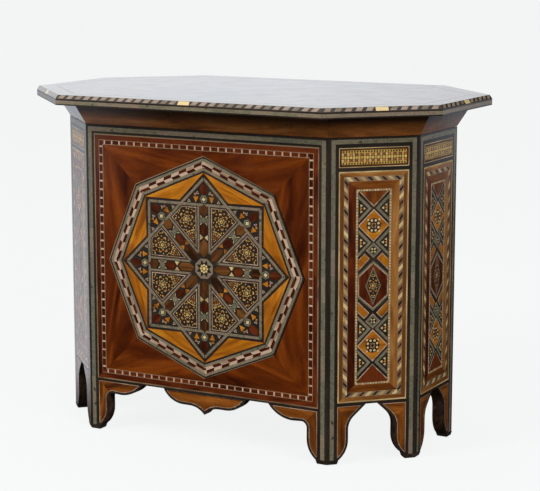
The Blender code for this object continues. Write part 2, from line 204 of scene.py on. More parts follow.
class Shades:
    """A thin layer over one node tree, which makes linked nodes in a line or two."""

    def __init__(self, tree: bpy.types.NodeTree) -> None:
        """Takes hold of a tree."""
        self.tree = tree

    def feed(self, socket: Socket, value: object) -> None:
        """Links an output to a socket, or sets the socket's own value."""
        if isinstance(value, Socket):
            self.tree.links.new(value, socket)
        elif isinstance(value, tuple) and len(value) == 3 and socket.type == "RGBA":
            socket.default_value = (*value, 1.0)
        else:
            socket.default_value = value

    def node(self, kind: str, inputs: dict[str | int, object] | None = None, **settings: object) -> bpy.types.Node:
        """Adds a node.

        Args:
            kind: its type.
            inputs: what feeds its inputs, by name or number.
            settings: its properties, which are set first.

        Returns:
            The node.
        """
        made = self.tree.nodes.new(kind)
        for name, value in settings.items():
            setattr(made, name, value)
        for label, value in (inputs or {}).items():
            self.feed(made.inputs[label], value)
        return made

    def math(self, operation: str, *values: object, clamp: bool = False) -> Socket:
        """A Math node's result."""
        return self.node("ShaderNodeMath", dict(enumerate(values)), operation=operation, use_clamp=clamp).outputs[0]

    def vector(self, operation: str, first: object, second: object) -> Socket:
        """A Vector Math node's result, which is a number for a dot product."""
        made = self.node("ShaderNodeVectorMath", {0: first, 1: second}, operation=operation)
        return made.outputs["Value" if operation == "DOT_PRODUCT" else "Vector"]

    def noise(self, place: object, scale: float, detail: float, distortion: float = 0.0) -> Socket:
        """A Noise node's value."""
        inputs = {"Vector": place, "Scale": scale, "Detail": detail, "Distortion": distortion}
        return self.node("ShaderNodeTexNoise", inputs).outputs["Fac"]

    def ramp(self, value: object, stops: list[tuple[float, Colour]]) -> Socket:
        """A Color Ramp's colour."""
        made = self.node("ShaderNodeValToRGB", {0: value})
        elements = made.color_ramp.elements
        while len(elements) < len(stops):
            elements.new(0.5)
        for element, (place, colour) in zip(elements, stops):
            element.position, element.color = place, (*colour, 1.0)
        return made.outputs["Color"]

    def spread(self, value: object, low: float, high: float, to_low: float = 0.0, to_high: float = 1.0) -> Socket:
        """A clamped Map Range's value."""
        names = ("Value", "From Min", "From Max", "To Min", "To Max")
        return self.node("ShaderNodeMapRange", dict(zip(names, (value, low, high, to_low, to_high)))).outputs[0]

    def mix(self, share: object, first: object, second: object) -> Socket:
        """A colour Mix node's result."""
        made = self.node("ShaderNodeMix", {"Factor": share}, data_type="RGBA")
        for socket, value in zip([s for s in made.inputs if s.type == "RGBA"], (first, second)):
            self.feed(socket, value)
        return [s for s in made.outputs if s.type == "RGBA"][0]

    def shifted(self, place: Socket, tone: Socket, factors: tuple[float, float, float]) -> Socket:
        """A place moved along each axis in proportion to a tone."""
        parts = {axis: self.math("MULTIPLY", tone, factor) for axis, factor in zip("XYZ", factors)}
        return self.vector("ADD", place, self.node("ShaderNodeCombineXYZ", parts).outputs[0])

    def height(self, place: Socket) -> Socket:
        """A vector's Z."""
        return self.node("ShaderNodeSeparateXYZ", {0: place}).outputs["Z"]


def new_group(name: str, inputs: tuple[str, ...], outputs: tuple[str, ...]) -> tuple:
    """Starts a shader node group, in which Place is a vector and all else a number.

    Args:
        name: the group's name.
        inputs: its inputs.
        outputs: its outputs.

    Returns:
        The tree's helper, what is given to the group, and what it gives out.
    """
    tree = bpy.data.node_groups.new(name, "ShaderNodeTree")
    for label in inputs:
        kind = "NodeSocketVector" if label == "Place" else "NodeSocketFloat"
        tree.interface.new_socket(label, in_out="INPUT", socket_type=kind)
    for label in outputs:
        tree.interface.new_socket(label, in_out="OUTPUT", socket_type="NodeSocketFloat")
    return Shades(tree), tree.nodes.new("NodeGroupInput").outputs, tree.nodes.new("NodeGroupOutput").inputs


def grain_group() -> bpy.types.NodeTree:
    """Wood figure: broad bands, fine streaks and pores, all drawn out along local X."""
    s, given, out = new_group(
        "wood_figure", ("Place", "Tone", "Figure Scale", "Streak Scale"), ("Figure", "Streaks", "Pores")
    )
    place = s.shifted(given["Place"], given["Tone"], (0.61, 0.83, 0.37))
    for label, size, stretch, detail, wave, low, high in (
        ("Figure", "Figure Scale", (7.0, 38.0, 38.0), 4.0, 1.1, 0.3, 0.7),
        ("Streaks", "Streak Scale", (28.0, 420.0, 420.0), 3.0, 0.5, 0.32, 0.68),
        ("Pores", None, (130.0, 1500.0, 1500.0), 1.0, 0.0, 0.6, 0.72),
    ):
        at = s.vector("MULTIPLY", place, stretch)
        if size:
            at = s.node("ShaderNodeVectorMath", {0: at, "Scale": given[size]}, operation="SCALE").outputs[0]
        s.feed(out[label], s.spread(s.noise(at, 1.0, detail, wave), low, high))
    return s.tree


def lacquer_group() -> bpy.types.NodeTree:
    """Slow waves and fine dust in a brushed lacquer, as a height and a roughness share."""
    s, given, out = new_group("lacquer", ("Place",), ("Height", "Haze"))
    slow = s.math("MULTIPLY", s.noise(given["Place"], 40.0, 2.0), 0.55)
    fine = s.math("MULTIPLY", s.noise(given["Place"], 900.0, 2.0), 0.12)
    s.feed(out["Height"], s.math("ADD", slow, fine))
    s.feed(out["Haze"], s.noise(given["Place"], 24.0, 3.0, 0.6))
    return s.tree


def nacre_group() -> bpy.types.NodeTree:
    """Mother-of-pearl: soft clouds, layered lines and a few dark flecks."""
    s, given, out = new_group("nacre", ("Place", "Tone"), ("Cloud", "Lines", "Flecks"))
    place = s.shifted(given["Place"], given["Tone"], (1.7, 2.3, 0.9))
    s.feed(out["Cloud"], s.spread(s.noise(place, 75.0, 3.0, 1.4), 0.3, 0.7))
    layered = s.noise(s.vector("MULTIPLY", place, (120.0, 700.0, 300.0)), 1.0, 2.0, 2.0)
    s.feed(out["Lines"], s.spread(layered, 0.35, 0.65))
    s.feed(out["Flecks"], s.spread(s.noise(place, 110.0, 1.0), 0.71, 0.76))
    return s.tree


# Finishes


class Coordinates(Enum):
    """Where a finish reads its pattern."""

    CHIP = "chip"
    BODY = "body"


@dataclass(frozen=True)
class Finish:
    """What all the finishes share: a name, the record's slot, gloss, and where the pattern is read.

    turn is the angle in degrees about Z of the face that a BODY pattern lies along, and upright
    stands its grain on end. base_gloss and polish are those of the surface and its coat.
    """

    name: str
    slot: str
    roughness: float = 0.3
    coat: float = 1.0
    source: Coordinates = Coordinates.CHIP
    turn: float = 0.0
    upright: bool = False
    base_gloss: float = 0.12
    polish: float = 0.07

    def place(self, s: Shades) -> Socket:
        """Coordinates in metres with X along the grain."""
        if self.source is Coordinates.CHIP:
            return s.node("ShaderNodeUVMap", uv_map=GRAIN_MAP).outputs[0]
        place = s.node("ShaderNodeTexCoord").outputs["Object"]
        turns = [(0.0, 0.0, -math.radians(self.turn))]
        if self.upright:
            turns.append((0.0, math.radians(90), 0.0))
        for turn in turns:
            place = s.node("ShaderNodeMapping", {"Vector": place, "Rotation": turn}).outputs[0]
        return place

    def tone(self, s: Shades) -> Socket:
        """Each chip's own number, from -1 to 1."""
        return s.node("ShaderNodeAttribute", attribute_name=TONE).outputs["Fac"]

    def use(self, s: Shades, group: bpy.types.NodeTree, **values: object) -> bpy.types.NodeOutputs:
        """Places a node group and feeds its inputs, with underscores for spaces in their names."""
        inputs = {label.replace("_", " "): value for label, value in values.items()}
        return s.node("ShaderNodeGroup", inputs, node_tree=group).outputs

    def pattern(self, s: Shades, groups: Groups) -> tuple:
        """Colour, roughness, height and depth of the surface. Each kind of finish has its own."""
        raise NotImplementedError

    def extras(self) -> dict[str, float]:
        """Shader inputs that only one kind of finish sets."""
        return {}

    def material(self, groups: Groups) -> bpy.types.Material:
        """Builds the material.

        Args:
            groups: the shared node groups by name.

        Returns:
            The new material.
        """
        made = bpy.data.materials.new(self.name)
        made.use_nodes = True
        s = Shades(made.node_tree)
        colour, roughness, height, depth = self.pattern(s, groups)
        bump = s.node("ShaderNodeBump", {"Strength": 0.5, "Distance": depth, "Height": height})
        inputs = {
            "Base Color": colour,
            "Roughness": roughness,
            "Normal": bump.outputs[0],
            "Specular IOR Level": self.base_gloss,
            "Coat Weight": self.coat,
            "Coat Roughness": self.polish,
        }
        for label, value in (inputs | self.extras()).items():
            s.feed(made.node_tree.nodes["Principled BSDF"].inputs[label], value)
        return made


@dataclass(frozen=True)
class Wood(Finish):
    """Lacquered veneer or solid wood.

    Between two given heights the wood turns darker: painted shade, which the cornice uses for the shade under the lid's
    overhang.
    """

    dark: Colour = (0.05, 0.015, 0.006)
    middle: Colour = (0.12, 0.035, 0.012)
    light: Colour = (0.22, 0.07, 0.02)
    figure: float = 1.0
    streak: float = 1.0
    contrast: float = 0.45
    tone_shift: float = 0.3
    stain_from: float = 0.0
    stain_to: float = 0.0

    def pattern(self, s: Shades, groups: Groups) -> tuple:
        """Figure in three colours, dark streaks over it, and pores."""
        place, tone = self.place(s), self.tone(s)
        grain = self.use(s, groups["grain"], Place=place, Tone=tone, Figure_Scale=self.figure, Streak_Scale=self.streak)
        value = s.math("ADD", grain["Figure"], s.math("MULTIPLY", tone, self.tone_shift), clamp=True)
        colour = s.ramp(value, [(0.05, self.dark), (0.45, self.middle), (0.95, self.light)])
        streaks = s.math("MULTIPLY", s.math("SUBTRACT", 1.0, grain["Streaks"]), self.contrast)
        colour = s.mix(streaks, colour, self.dark)
        colour = s.mix(s.math("MULTIPLY", grain["Pores"], 0.5), colour, self.dark)
        # Painted shade: between the two heights the colour is mixed towards near-black, standing in for the shade under
        # the lid's overhang.
        if self.stain_to > 0.0:
            height = s.height(s.node("ShaderNodeTexCoord").outputs["Object"])
            ragged = s.math("ADD", height, s.spread(grain["Figure"], 0.0, 1.0, -0.003, 0.003))
            colour = s.mix(s.spread(ragged, self.stain_from, self.stain_to, 0.0, 0.85), colour, (0.012, 0.006, 0.004))
        film = self.use(s, groups["lacquer"], Place=place)
        roughness = s.spread(film["Haze"], 0.3, 0.7, self.roughness - 0.05, self.roughness + 0.08)
        dents = s.math("MULTIPLY", grain["Pores"], -0.15)
        return colour, roughness, s.math("ADD", film["Height"], dents), 0.00012


@dataclass(frozen=True)
class Pearl(Finish):
    """Grey-green mother-of-pearl, whose hue changes from piece to piece."""

    hues: tuple[Colour, Colour, Colour, Colour] = (
        (0.150, 0.102, 0.072),
        (0.135, 0.108, 0.064),
        (0.084, 0.077, 0.043),
        (0.058, 0.065, 0.042),
    )
    # Painted highlight: a lighter colour mixed in along the layer lines, standing in for the nacre's lustre.
    painted_highlight: Colour = (0.38, 0.34, 0.25)
    fleck: Colour = (0.05, 0.04, 0.03)

    def pattern(self, s: Shades, groups: Groups) -> tuple:
        """Four hues by the chip's tone, with clouds, a painted highlight along the layer lines, and flecks."""
        place, tone = self.place(s), self.tone(s)
        nacre = self.use(s, groups["nacre"], Place=place, Tone=tone)
        cloud = s.spread(nacre["Cloud"], 0.0, 1.0, -0.35, 0.35)
        value = s.spread(s.math("ADD", tone, cloud), -1.0, 1.0)
        colour = s.ramp(value, [(0.08 + 0.28 * i, hue) for i, hue in enumerate(self.hues)])
        # Painted highlight: the layer lines are mixed towards a lighter colour.
        colour = s.mix(s.math("MULTIPLY", nacre["Lines"], 0.30), colour, self.painted_highlight)
        colour = s.mix(nacre["Flecks"], colour, self.fleck)
        roughness = s.spread(nacre["Lines"], 0.0, 1.0, self.roughness, self.roughness + 0.12)
        return colour, roughness, nacre["Lines"], 0.00004

    def extras(self) -> dict[str, float]:
        """A little sheen for the pearl's own lustre."""
        return {"Sheen Weight": 0.04, "Sheen Roughness": 0.4}


@dataclass(frozen=True)
class Bone(Finish):
    """Bone or pale wood: faintly mottled, with brown in its pores."""

    pale: Colour = (0.44, 0.315, 0.225)
    deep: Colour = (0.23, 0.145, 0.09)

    def pattern(self, s: Shades, groups: Groups) -> tuple:
        """Cream to pinkish, darker in the pores."""
        place, tone = self.place(s), self.tone(s)
        grain = self.use(s, groups["grain"], Place=place, Tone=tone, Figure_Scale=2.0, Streak_Scale=1.5)
        value = s.math("ADD", grain["Figure"], s.math("MULTIPLY", tone, 0.4), clamp=True)
        colour = s.ramp(value, [(0.1, self.deep), (0.6, self.pale)])
        colour = s.mix(s.math("MULTIPLY", grain["Pores"], 0.4), colour, self.deep)
        roughness = s.spread(grain["Streaks"], 0.0, 1.0, self.roughness, self.roughness + 0.1)
        return colour, roughness, grain["Streaks"], 0.00003


@dataclass(frozen=True)
class Metal(Finish):
    """Brass or steel with fine scratches and tarnish."""

    coat: float = 0.0
    source: Coordinates = Coordinates.BODY
    bright: Colour = (0.62, 0.44, 0.18)
    dull: Colour = (0.22, 0.14, 0.06)

    def pattern(self, s: Shades, groups: Groups) -> tuple:
        """Tarnish in clouds, and scratches along the piece."""
        place = self.place(s)
        tarnish = s.spread(s.noise(place, 180.0, 4.0, 0.8), 0.42, 0.68)
        scratches = s.noise(s.vector("MULTIPLY", place, (150.0, 3200.0, 3200.0)), 1.0, 2.0)
        roughness = s.spread(tarnish, 0.0, 1.0, self.roughness, self.roughness + 0.3)
        return s.mix(tarnish, self.bright, self.dull), roughness, scratches, 0.00003

    def extras(self) -> dict[str, float]:
        """Full metal, with no lacquer."""
        return {"Metallic": 1.0, "Specular IOR Level": 0.5}


EBONY = Wood(
    "ebony_inlay", "ebonised_wood", contrast=0.3,
    dark=(0.0123, 0.0102, 0.0079), middle=(0.0200, 0.0146, 0.0114), light=(0.0371, 0.0233, 0.0156),
)
PEARL = Pearl("mother_of_pearl", "mother_of_pearl", 0.26)
BONE = Bone("bone_inlay", "bone", 0.32)
CREAM = Bone("cream_wood", "bone", 0.32, pale=(0.56, 0.42, 0.20), deep=(0.32, 0.21, 0.09))
YELLOW = Bone("boxwood", "gold_wood", 0.32, pale=(0.66, 0.46, 0.12), deep=(0.40, 0.24, 0.05))
TAUPE = Bone("taupe_wood", "bone", 0.32, pale=(0.22, 0.145, 0.085), deep=(0.10, 0.06, 0.032))
ROPE = Bone("rope_bone", "bone", 0.3, pale=(0.25, 0.18, 0.13), deep=(0.12, 0.092, 0.055))
FIELD = Wood(
    "walnut_veneer", "walnut_field", 0.26, figure=0.8, contrast=0.24, tone_shift=0.2,
    dark=(0.030, 0.0046, 0.0006), middle=(0.092, 0.0165, 0.0014), light=(0.19, 0.041, 0.0034),
)
RED = Wood(
    "red_brown_veneer", "walnut_field", 0.26, figure=1.6, contrast=0.3, tone_shift=0.5,
    dark=(0.018, 0.0030, 0.0008), middle=(0.060, 0.0100, 0.0020), light=(0.135, 0.026, 0.0050),
)
GOLD = Wood(
    "golden_veneer", "gold_wood", 0.28, figure=1.3, contrast=0.4, tone_shift=0.25,
    dark=(0.16, 0.045, 0.003), middle=(0.38, 0.125, 0.006), light=(0.55, 0.21, 0.015),
)
AMBER = Wood(
    "amber_veneer", "gold_wood", 0.28, figure=1.2, contrast=0.3, tone_shift=0.45,
    dark=(0.12, 0.04, 0.008), middle=(0.27, 0.105, 0.022), light=(0.42, 0.20, 0.055),
)
BROWN = Wood(
    "brown_veneer", "apron_walnut", 0.28, figure=1.6, contrast=0.35, tone_shift=0.5,
    dark=(0.020, 0.0070, 0.0020), middle=(0.062, 0.0205, 0.0050), light=(0.16, 0.060, 0.013),
)
APRON = Wood(
    "apron_veneer", "apron_walnut", 0.28, figure=1.2, contrast=0.35, tone_shift=0.4,
    dark=(0.050, 0.0120, 0.0020), middle=(0.155, 0.043, 0.0050), light=(0.29, 0.090, 0.012),
)
LID_TOP = Wood(
    "lid_veneer", "lid_walnut", 0.16, figure=0.6, contrast=0.3, tone_shift=0.35,
    dark=(0.035, 0.010, 0.005), middle=(0.105, 0.030, 0.011), light=(0.21, 0.066, 0.02),
)
BRASS = Metal("worn_brass", "brass", 0.28)
STEEL = Metal("screw_steel", "steel", 0.3, bright=(0.5, 0.49, 0.46), dull=(0.16, 0.14, 0.12))


class Paintbox:
    """Makes each finish's material once."""

    def __init__(self) -> None:
        """Builds the shared node groups."""
        self.groups = {"grain": grain_group(), "lacquer": lacquer_group(), "nacre": nacre_group()}
        self.made: dict[str, bpy.types.Material] = {}

    def material(self, finish: Finish) -> bpy.types.Material:
        """The finish's material."""
        if finish.name not in self.made:
            self.made[finish.name] = finish.material(self.groups)
        return self.made[finish.name]


# Chips: flat cut pieces of veneer


def layer_top(layer: int) -> float:
    """How far a layer stands out of the wood, in millimetres. The first layer is 1."""
    return VENEER_PROUD + LAYER_STEP * (layer - 1)


@dataclass
class Chip:
    """One flat piece of veneer: its outline, layer, finish, grain angle and tone."""

    outline: Outline
    layer: int
    finish: Finish
    grain: float = 0.0
    tone: float = 0.0


@dataclass
class Run:
    """Tiles set end to end along straight lines, by a Geometry Nodes tree.

    pitch is the wanted spacing. It is changed a little to fit each line, and the tiles are
    stretched with it if stretch is set.
    """

    lines: list[tuple[Point, Point]]
    pitch: float
    tile: Outline
    layer: int
    finish: Finish
    tones: tuple[float, float] = (-0.8, 0.8)
    seed: int = 1
    stretch: bool = True


@dataclass
class Spots:
    """Copies of one tile at given places, by a Geometry Nodes tree: (u, v, turn in degrees, size, tone)."""

    places: list[Place]
    tile: Outline
    layer: int
    finish: Finish


def chips_mesh(name: str, chips: list[Chip], paints: Paintbox) -> bpy.types.Mesh:
    """One mesh of closed slabs.

    Args:
        name: the mesh's name.
        chips: the pieces of veneer.
        paints: the materials.

    Returns:
        The mesh, in metres, with the grain map and the tone of each chip.
    """
    verts: list[tuple[float, float, float]] = []
    faces: list[tuple[int, ...]] = []
    slots: list[int] = []
    tones: list[float] = []
    grains: list[tuple[float, Point]] = []
    finishes = list(dict.fromkeys(chip.finish for chip in chips))
    for number, chip in enumerate(chips):
        outline = anticlockwise(chip.outline)
        base, count = len(verts), len(outline)
        for depth in (-layer_top(chip.layer), VENEER_ROOT):
            verts += [(u * MM, depth * MM, v * MM) for u, v in outline]
        tones += [chip.tone] * (2 * count)
        faces += [tuple(range(base, base + count)), tuple(range(base + 2 * count - 1, base + count - 1, -1))]
        for i in range(count):
            j = (i + 1) % count
            faces.append((base + j, base + i, base + count + i, base + count + j))
        slots += [finishes.index(chip.finish)] * (count + 2)
        grains += [(math.radians(chip.grain), (0.137 * number, 0.071 * number))] * (count + 2)
    mesh = bpy.data.meshes.new(name)
    mesh.from_pydata(verts, [], faces)
    for finish in finishes:
        mesh.materials.append(paints.material(finish))
    mesh.polygons.foreach_set("material_index", slots)
    mesh.attributes.new(TONE, "FLOAT", "POINT").data.foreach_set("value", tones)
    layer = mesh.uv_layers.new(name=GRAIN_MAP)
    for polygon, (angle, shift) in zip(mesh.polygons, grains):
        c, s = math.cos(angle), math.sin(angle)
        for loop in polygon.loop_indices:
            x, _, z = verts[mesh.loops[loop].vertex_index]
            layer.data[loop].uv = (x * c + z * s + shift[0], z * c - x * s + shift[1])
    return mesh


class GeometryTrees:
    """The two Geometry Nodes trees that lay out repeated tiles."""

    def __init__(self) -> None:
        """Builds both trees."""
        self.sockets: dict[str, dict[str, str]] = {}
        self.along_lines = self.build_along_lines()
        self.at_spots = self.build_at_spots()

    def start(self, name: str, inputs: dict[str, str]) -> tuple:
        """Starts a tree, notes the identifier of each named input, and gives its helper and inputs."""
        tree = bpy.data.node_groups.new(name, "GeometryNodeTree")
        self.sockets[name] = {}
        for label, kind in ({"Geometry": "Geometry", "Tile": "Object", "Material": "Material"} | inputs).items():
            socket = tree.interface.new_socket(label, in_out="INPUT", socket_type=f"NodeSocket{kind}")
            self.sockets[name][label] = socket.identifier
        tree.interface.new_socket("Geometry", in_out="OUTPUT", socket_type="NodeSocketGeometry")
        return Shades(tree), tree.nodes.new("NodeGroupInput").outputs

    def place(self, s: Shades, given: object, points: Socket, angle: Socket, size: dict[str, Socket]) -> Socket:
        """The tile on each point, turned about Y in the plane of its face, and sized along some axes.

        Args:
            s: the tree's helper.
            given: the tree's inputs.
            points: the points.
            angle: each tile's turn in radians.
            size: the sizes along the axes that are not 1.

        Returns:
            The instances.
        """
        euler = s.node("ShaderNodeCombineXYZ", {"Y": angle}).outputs[0]
        inputs = {
            "Points": points,
            "Instance": s.node("GeometryNodeObjectInfo", {"Object": given["Tile"]}).outputs["Geometry"],
            "Rotation": s.node("FunctionNodeEulerToRotation", {0: euler}).outputs[0],
            "Scale": s.node("ShaderNodeCombineXYZ", {"X": 1.0, "Y": 1.0, "Z": 1.0} | size).outputs[0],
        }
        return s.node("GeometryNodeInstanceOnPoints", inputs).outputs[0]

    def close(self, s: Shades, given: object, placed: Socket) -> bpy.types.NodeTree:
        """Ends a tree: real geometry, then its material."""
        real = s.node("GeometryNodeRealizeInstances", {"Geometry": placed}).outputs[0]
        dressed = s.node("GeometryNodeSetMaterial", {"Geometry": real, "Material": given["Material"]})
        s.node("NodeGroupOutput", {0: dressed.outputs[0]})
        return s.tree

    def build_along_lines(self) -> bpy.types.NodeTree:
        """Tiles at equal steps along lines, turned with them, each with a tone of its own."""
        inputs = {"Count": "Int", "Stretch": "Float", "Lowest Tone": "Float", "Highest Tone": "Float", "Seed": "Int"}
        s, given = self.start("tiles_along_lines", inputs)
        curve = s.node("GeometryNodeMeshToCurve", {"Mesh": given["Geometry"]}).outputs[0]
        steps = s.node("GeometryNodeCurveToPoints", {"Curve": curve, "Count": given["Count"]}, mode="COUNT").outputs
        heading = s.node("ShaderNodeSeparateXYZ", {0: steps["Tangent"]}).outputs
        angle = s.math("MULTIPLY", s.math("ARCTAN2", heading["Z"], heading["X"]), -1.0)
        placed = self.place(s, given, steps["Points"], angle, {"X": given["Stretch"]})
        tone = s.node("FunctionNodeRandomValue", {"Seed": given["Seed"]}, data_type="FLOAT")
        for socket, end in zip([i for i in tone.inputs if i.type == "VALUE"], ("Lowest Tone", "Highest Tone")):
            s.feed(socket, given[end])
        value = [socket for socket in tone.outputs if socket.type == "VALUE"][0]
        stored = {"Geometry": placed, "Name": TONE, "Value": value}
        placed = s.node("GeometryNodeStoreNamedAttribute", stored, data_type="FLOAT", domain="INSTANCE").outputs[0]
        return self.close(s, given, placed)

    def build_at_spots(self) -> bpy.types.NodeTree:
        """Tiles at single points, with turn, size and tone read from the points."""
        s, given = self.start("tiles_at_spots", {})
        turn, size = [
            s.node("GeometryNodeInputNamedAttribute", {"Name": name}, data_type="FLOAT").outputs["Attribute"]
            for name in ("turn", "size")
        ]
        return self.close(s, given, self.place(s, given, given["Geometry"], turn, {"X": size, "Z": size}))

    def evaluate(self, start: bpy.types.Mesh, tree: bpy.types.NodeTree, values: dict[str, object]) -> bpy.types.Mesh:
        """Runs a tree on a mesh.

        Args:
            start: the mesh that the tree starts from.
            tree: one of the two trees.
            values: the tree's inputs by name.

        Returns:
            The tree's result as a plain mesh.
        """
        carrier = new_object("carrier", start)
        modifier = carrier.modifiers.new("tiles", "NODES")
        modifier.node_group = tree
        for label, value in values.items():
            modifier[self.sockets[tree.name][label]] = value
        evaluated = carrier.evaluated_get(bpy.context.evaluated_depsgraph_get())
        made = bpy.data.meshes.new_from_object(evaluated)
        bpy.data.objects.remove(carrier)
        return made

    def set_spots(
        self, points: list[tuple], values: dict[str, list[float]], tile: bpy.types.Object, material: bpy.types.Material
    ) -> bpy.types.Mesh:
        """Copies of a tile at points.

        Args:
            points: the places, in metres.
            values: turn in radians, size and tone of each copy.
            tile: the object that is copied.
            material: its material.

        Returns:
            The copies as one mesh, which keeps only the tone.
        """
        start = bpy.data.meshes.new("spots")
        start.from_pydata(points, [], [])
        for name, numbers in values.items():
            start.attributes.new(name, "FLOAT", "POINT").data.foreach_set("value", numbers)
        made = self.evaluate(start, self.at_spots, {"Tile": tile, "Material": material})
        for name in ("turn", "size"):
            attribute = made.attributes.get(name)
            if attribute:
                made.attributes.remove(attribute)
        return made


def new_object(name: str, mesh: bpy.types.Mesh) -> bpy.types.Object:
    """Links a mesh into the scene as an object."""
    made = bpy.data.objects.new(name, mesh)
    bpy.context.scene.collection.objects.link(made)
    return made


def joined(name: str, meshes: list[bpy.types.Mesh]) -> bpy.types.Mesh:
    """Joins meshes with their materials, grain maps and tones."""
    if len(meshes) == 1:
        meshes[0].name = name
        return meshes[0]
    things = [new_object(name, mesh) for mesh in meshes]
    with bpy.context.temp_override(active_object=things[0], selected_editable_objects=things):
        bpy.ops.object.join()
    mesh = things[0].data
    bpy.data.objects.remove(things[0])
    mesh.name = name
    return mesh


@dataclass
class Marquetry:
    """A set of veneers drawn on one face, built once and carried to every face that has it."""

    name: str
    paints: Paintbox
    trees: GeometryTrees
    chips: list[Chip] = field(default_factory=list)
    runs: list[Run] = field(default_factory=list)
    spots: list[Spots] = field(default_factory=list)

    def lay(self, outline: Outline, layer: int, finish: Finish, grain: float = 0.0, tone: float = 0.0) -> None:
        """Adds one chip."""
        if len(outline) > 2 and abs(area(outline)) > 0.02:
            self.chips.append(Chip(outline, layer, finish, grain, tone))

    def frame(
        self,
        outer: Outline,
        inner: Outline,
        layer: int,
        finish: Finish | tuple[Finish, ...],
        tones: list[float] | None = None,
    ) -> None:
        """Adds a mitred frame between two outlines with as many points, its grain along each side.

        Args:
            outer: the outer outline.
            inner: the inner outline.
            layer: the layer of every side.
            finish: one finish, or one for each side in turn.
            tones: tones of the sides in turn.
        """
        for i, ((a, b), (d, c)) in enumerate(zip(edges(outer), edges(inner))):
            grain = math.degrees(math.atan2(b[1] - a[1], b[0] - a[0]))
            tone = tones[i % len(tones)] if tones else 0.0
            wood = finish[i % len(finish)] if isinstance(finish, tuple) else finish
            self.lay([a, b, c, d], layer, wood, grain, tone)

    def run(self, *arguments: object, **options: object) -> None:
        """Adds a run of tiles."""
        self.runs.append(Run(*arguments, **options))

    def spot(self, *arguments: object) -> None:
        """Adds tiles at single places."""
        self.spots.append(Spots(*arguments))

    def tile_object(self, tile: Outline, layer: int, finish: Finish) -> bpy.types.Object:
        """The slab that a run or a set of spots repeats, without a tone, which each copy gets of its own.

        Args:
            tile: its outline.
            layer: its layer.
            finish: its finish.

        Returns:
            The slab as an object.
        """
        mesh = chips_mesh("tile", [Chip(tile, layer, finish)], self.paints)
        mesh.attributes.remove(mesh.attributes[TONE])
        return new_object("tile", mesh)

    def run_meshes(self, run: Run) -> list[bpy.types.Mesh]:
        """Meshes of one run, one for each length of line in it."""
        tile = self.tile_object(run.tile, run.layer, run.finish)
        groups: dict[tuple[int, float], list[tuple[Point, Point]]] = {}
        for a, b in run.lines:
            length = math.dist(a, b)
            count = max(2, round(length / run.pitch))
            step = length / count
            along = ((b[0] - a[0]) / length, (b[1] - a[1]) / length)
            first = (a[0] + along[0] * step / 2, a[1] + along[1] * step / 2)
            last = (b[0] - along[0] * step / 2, b[1] - along[1] * step / 2)
            stretch = round(step / run.pitch, 4) if run.stretch else 1.0
            groups.setdefault((count, stretch), []).append((first, last))
        made = []
        for number, ((count, stretch), lines) in enumerate(groups.items()):
            start = bpy.data.meshes.new("lines")
            verts = [(u * MM, 0.0, v * MM) for line in lines for u, v in line]
            start.from_pydata(verts, [(2 * i, 2 * i + 1) for i in range(len(lines))], [])
            values = {
                "Tile": tile,
                "Material": self.paints.material(run.finish),
                "Count": count,
                "Stretch": stretch,
                "Lowest Tone": run.tones[0],
                "Highest Tone": run.tones[1],
                "Seed": run.seed + number,
            }
            made.append(self.trees.evaluate(start, self.trees.along_lines, values))
        bpy.data.objects.remove(tile)
        return made

    def spot_mesh(self, spots: Spots) -> bpy.types.Mesh:
        """Mesh of one set of spots."""
        tile = self.tile_object(spots.tile, spots.layer, spots.finish)
        values = {
            "turn": [-math.radians(place[2]) for place in spots.places],
            "size": [place[3] for place in spots.places],
            TONE: [place[4] for place in spots.places],
        }
        points = [(u * MM, 0.0, v * MM) for u, v, *_ in spots.places]
        made = self.trees.set_spots(points, values, tile, self.paints.material(spots.finish))
        bpy.data.objects.remove(tile)
        return made

    def build(self) -> bpy.types.Mesh:
        """One mesh in the face's own frame."""
        meshes = [chips_mesh(self.name, self.chips, self.paints)] if self.chips else []
        for run in self.runs:
            meshes += self.run_meshes(run)
        meshes += [self.spot_mesh(spots) for spots in self.spots if spots.places]
        return joined(self.name, meshes)


def carried(name: str, mesh: bpy.types.Mesh, place: Matrix, body: str) -> bpy.types.Object:
    """Sets a copy of a mesh on a face and lets it ride.

    Args:
        name: the piece's name.
        mesh: the mesh in the face's own frame.
        place: the face's frame.
        body: the CAD body that it rides on.

    Returns:
        The new piece, with its place in its mesh.
    """
    copy = mesh.copy()
    copy.transform(place)
    made = new_object(name, copy)
    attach(made, body)
    LOG.info("%s: %d faces, on %s", name, len(copy.polygons), body)
    return made


# The frame: faces of the box as the CAD has them


class FaceKind(Enum):
    """The two widths of wall."""

    LONG = "long"
    NARROW = "narrow"


FACE_NAMES = ("front", "front_right", "right", "rear_right", "rear", "rear_left", "left", "front_left")


def node_points(node: str) -> list[Vector]:
    """A CAD node's points."""
    return [vertex.co.copy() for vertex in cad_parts[node].data.vertices]


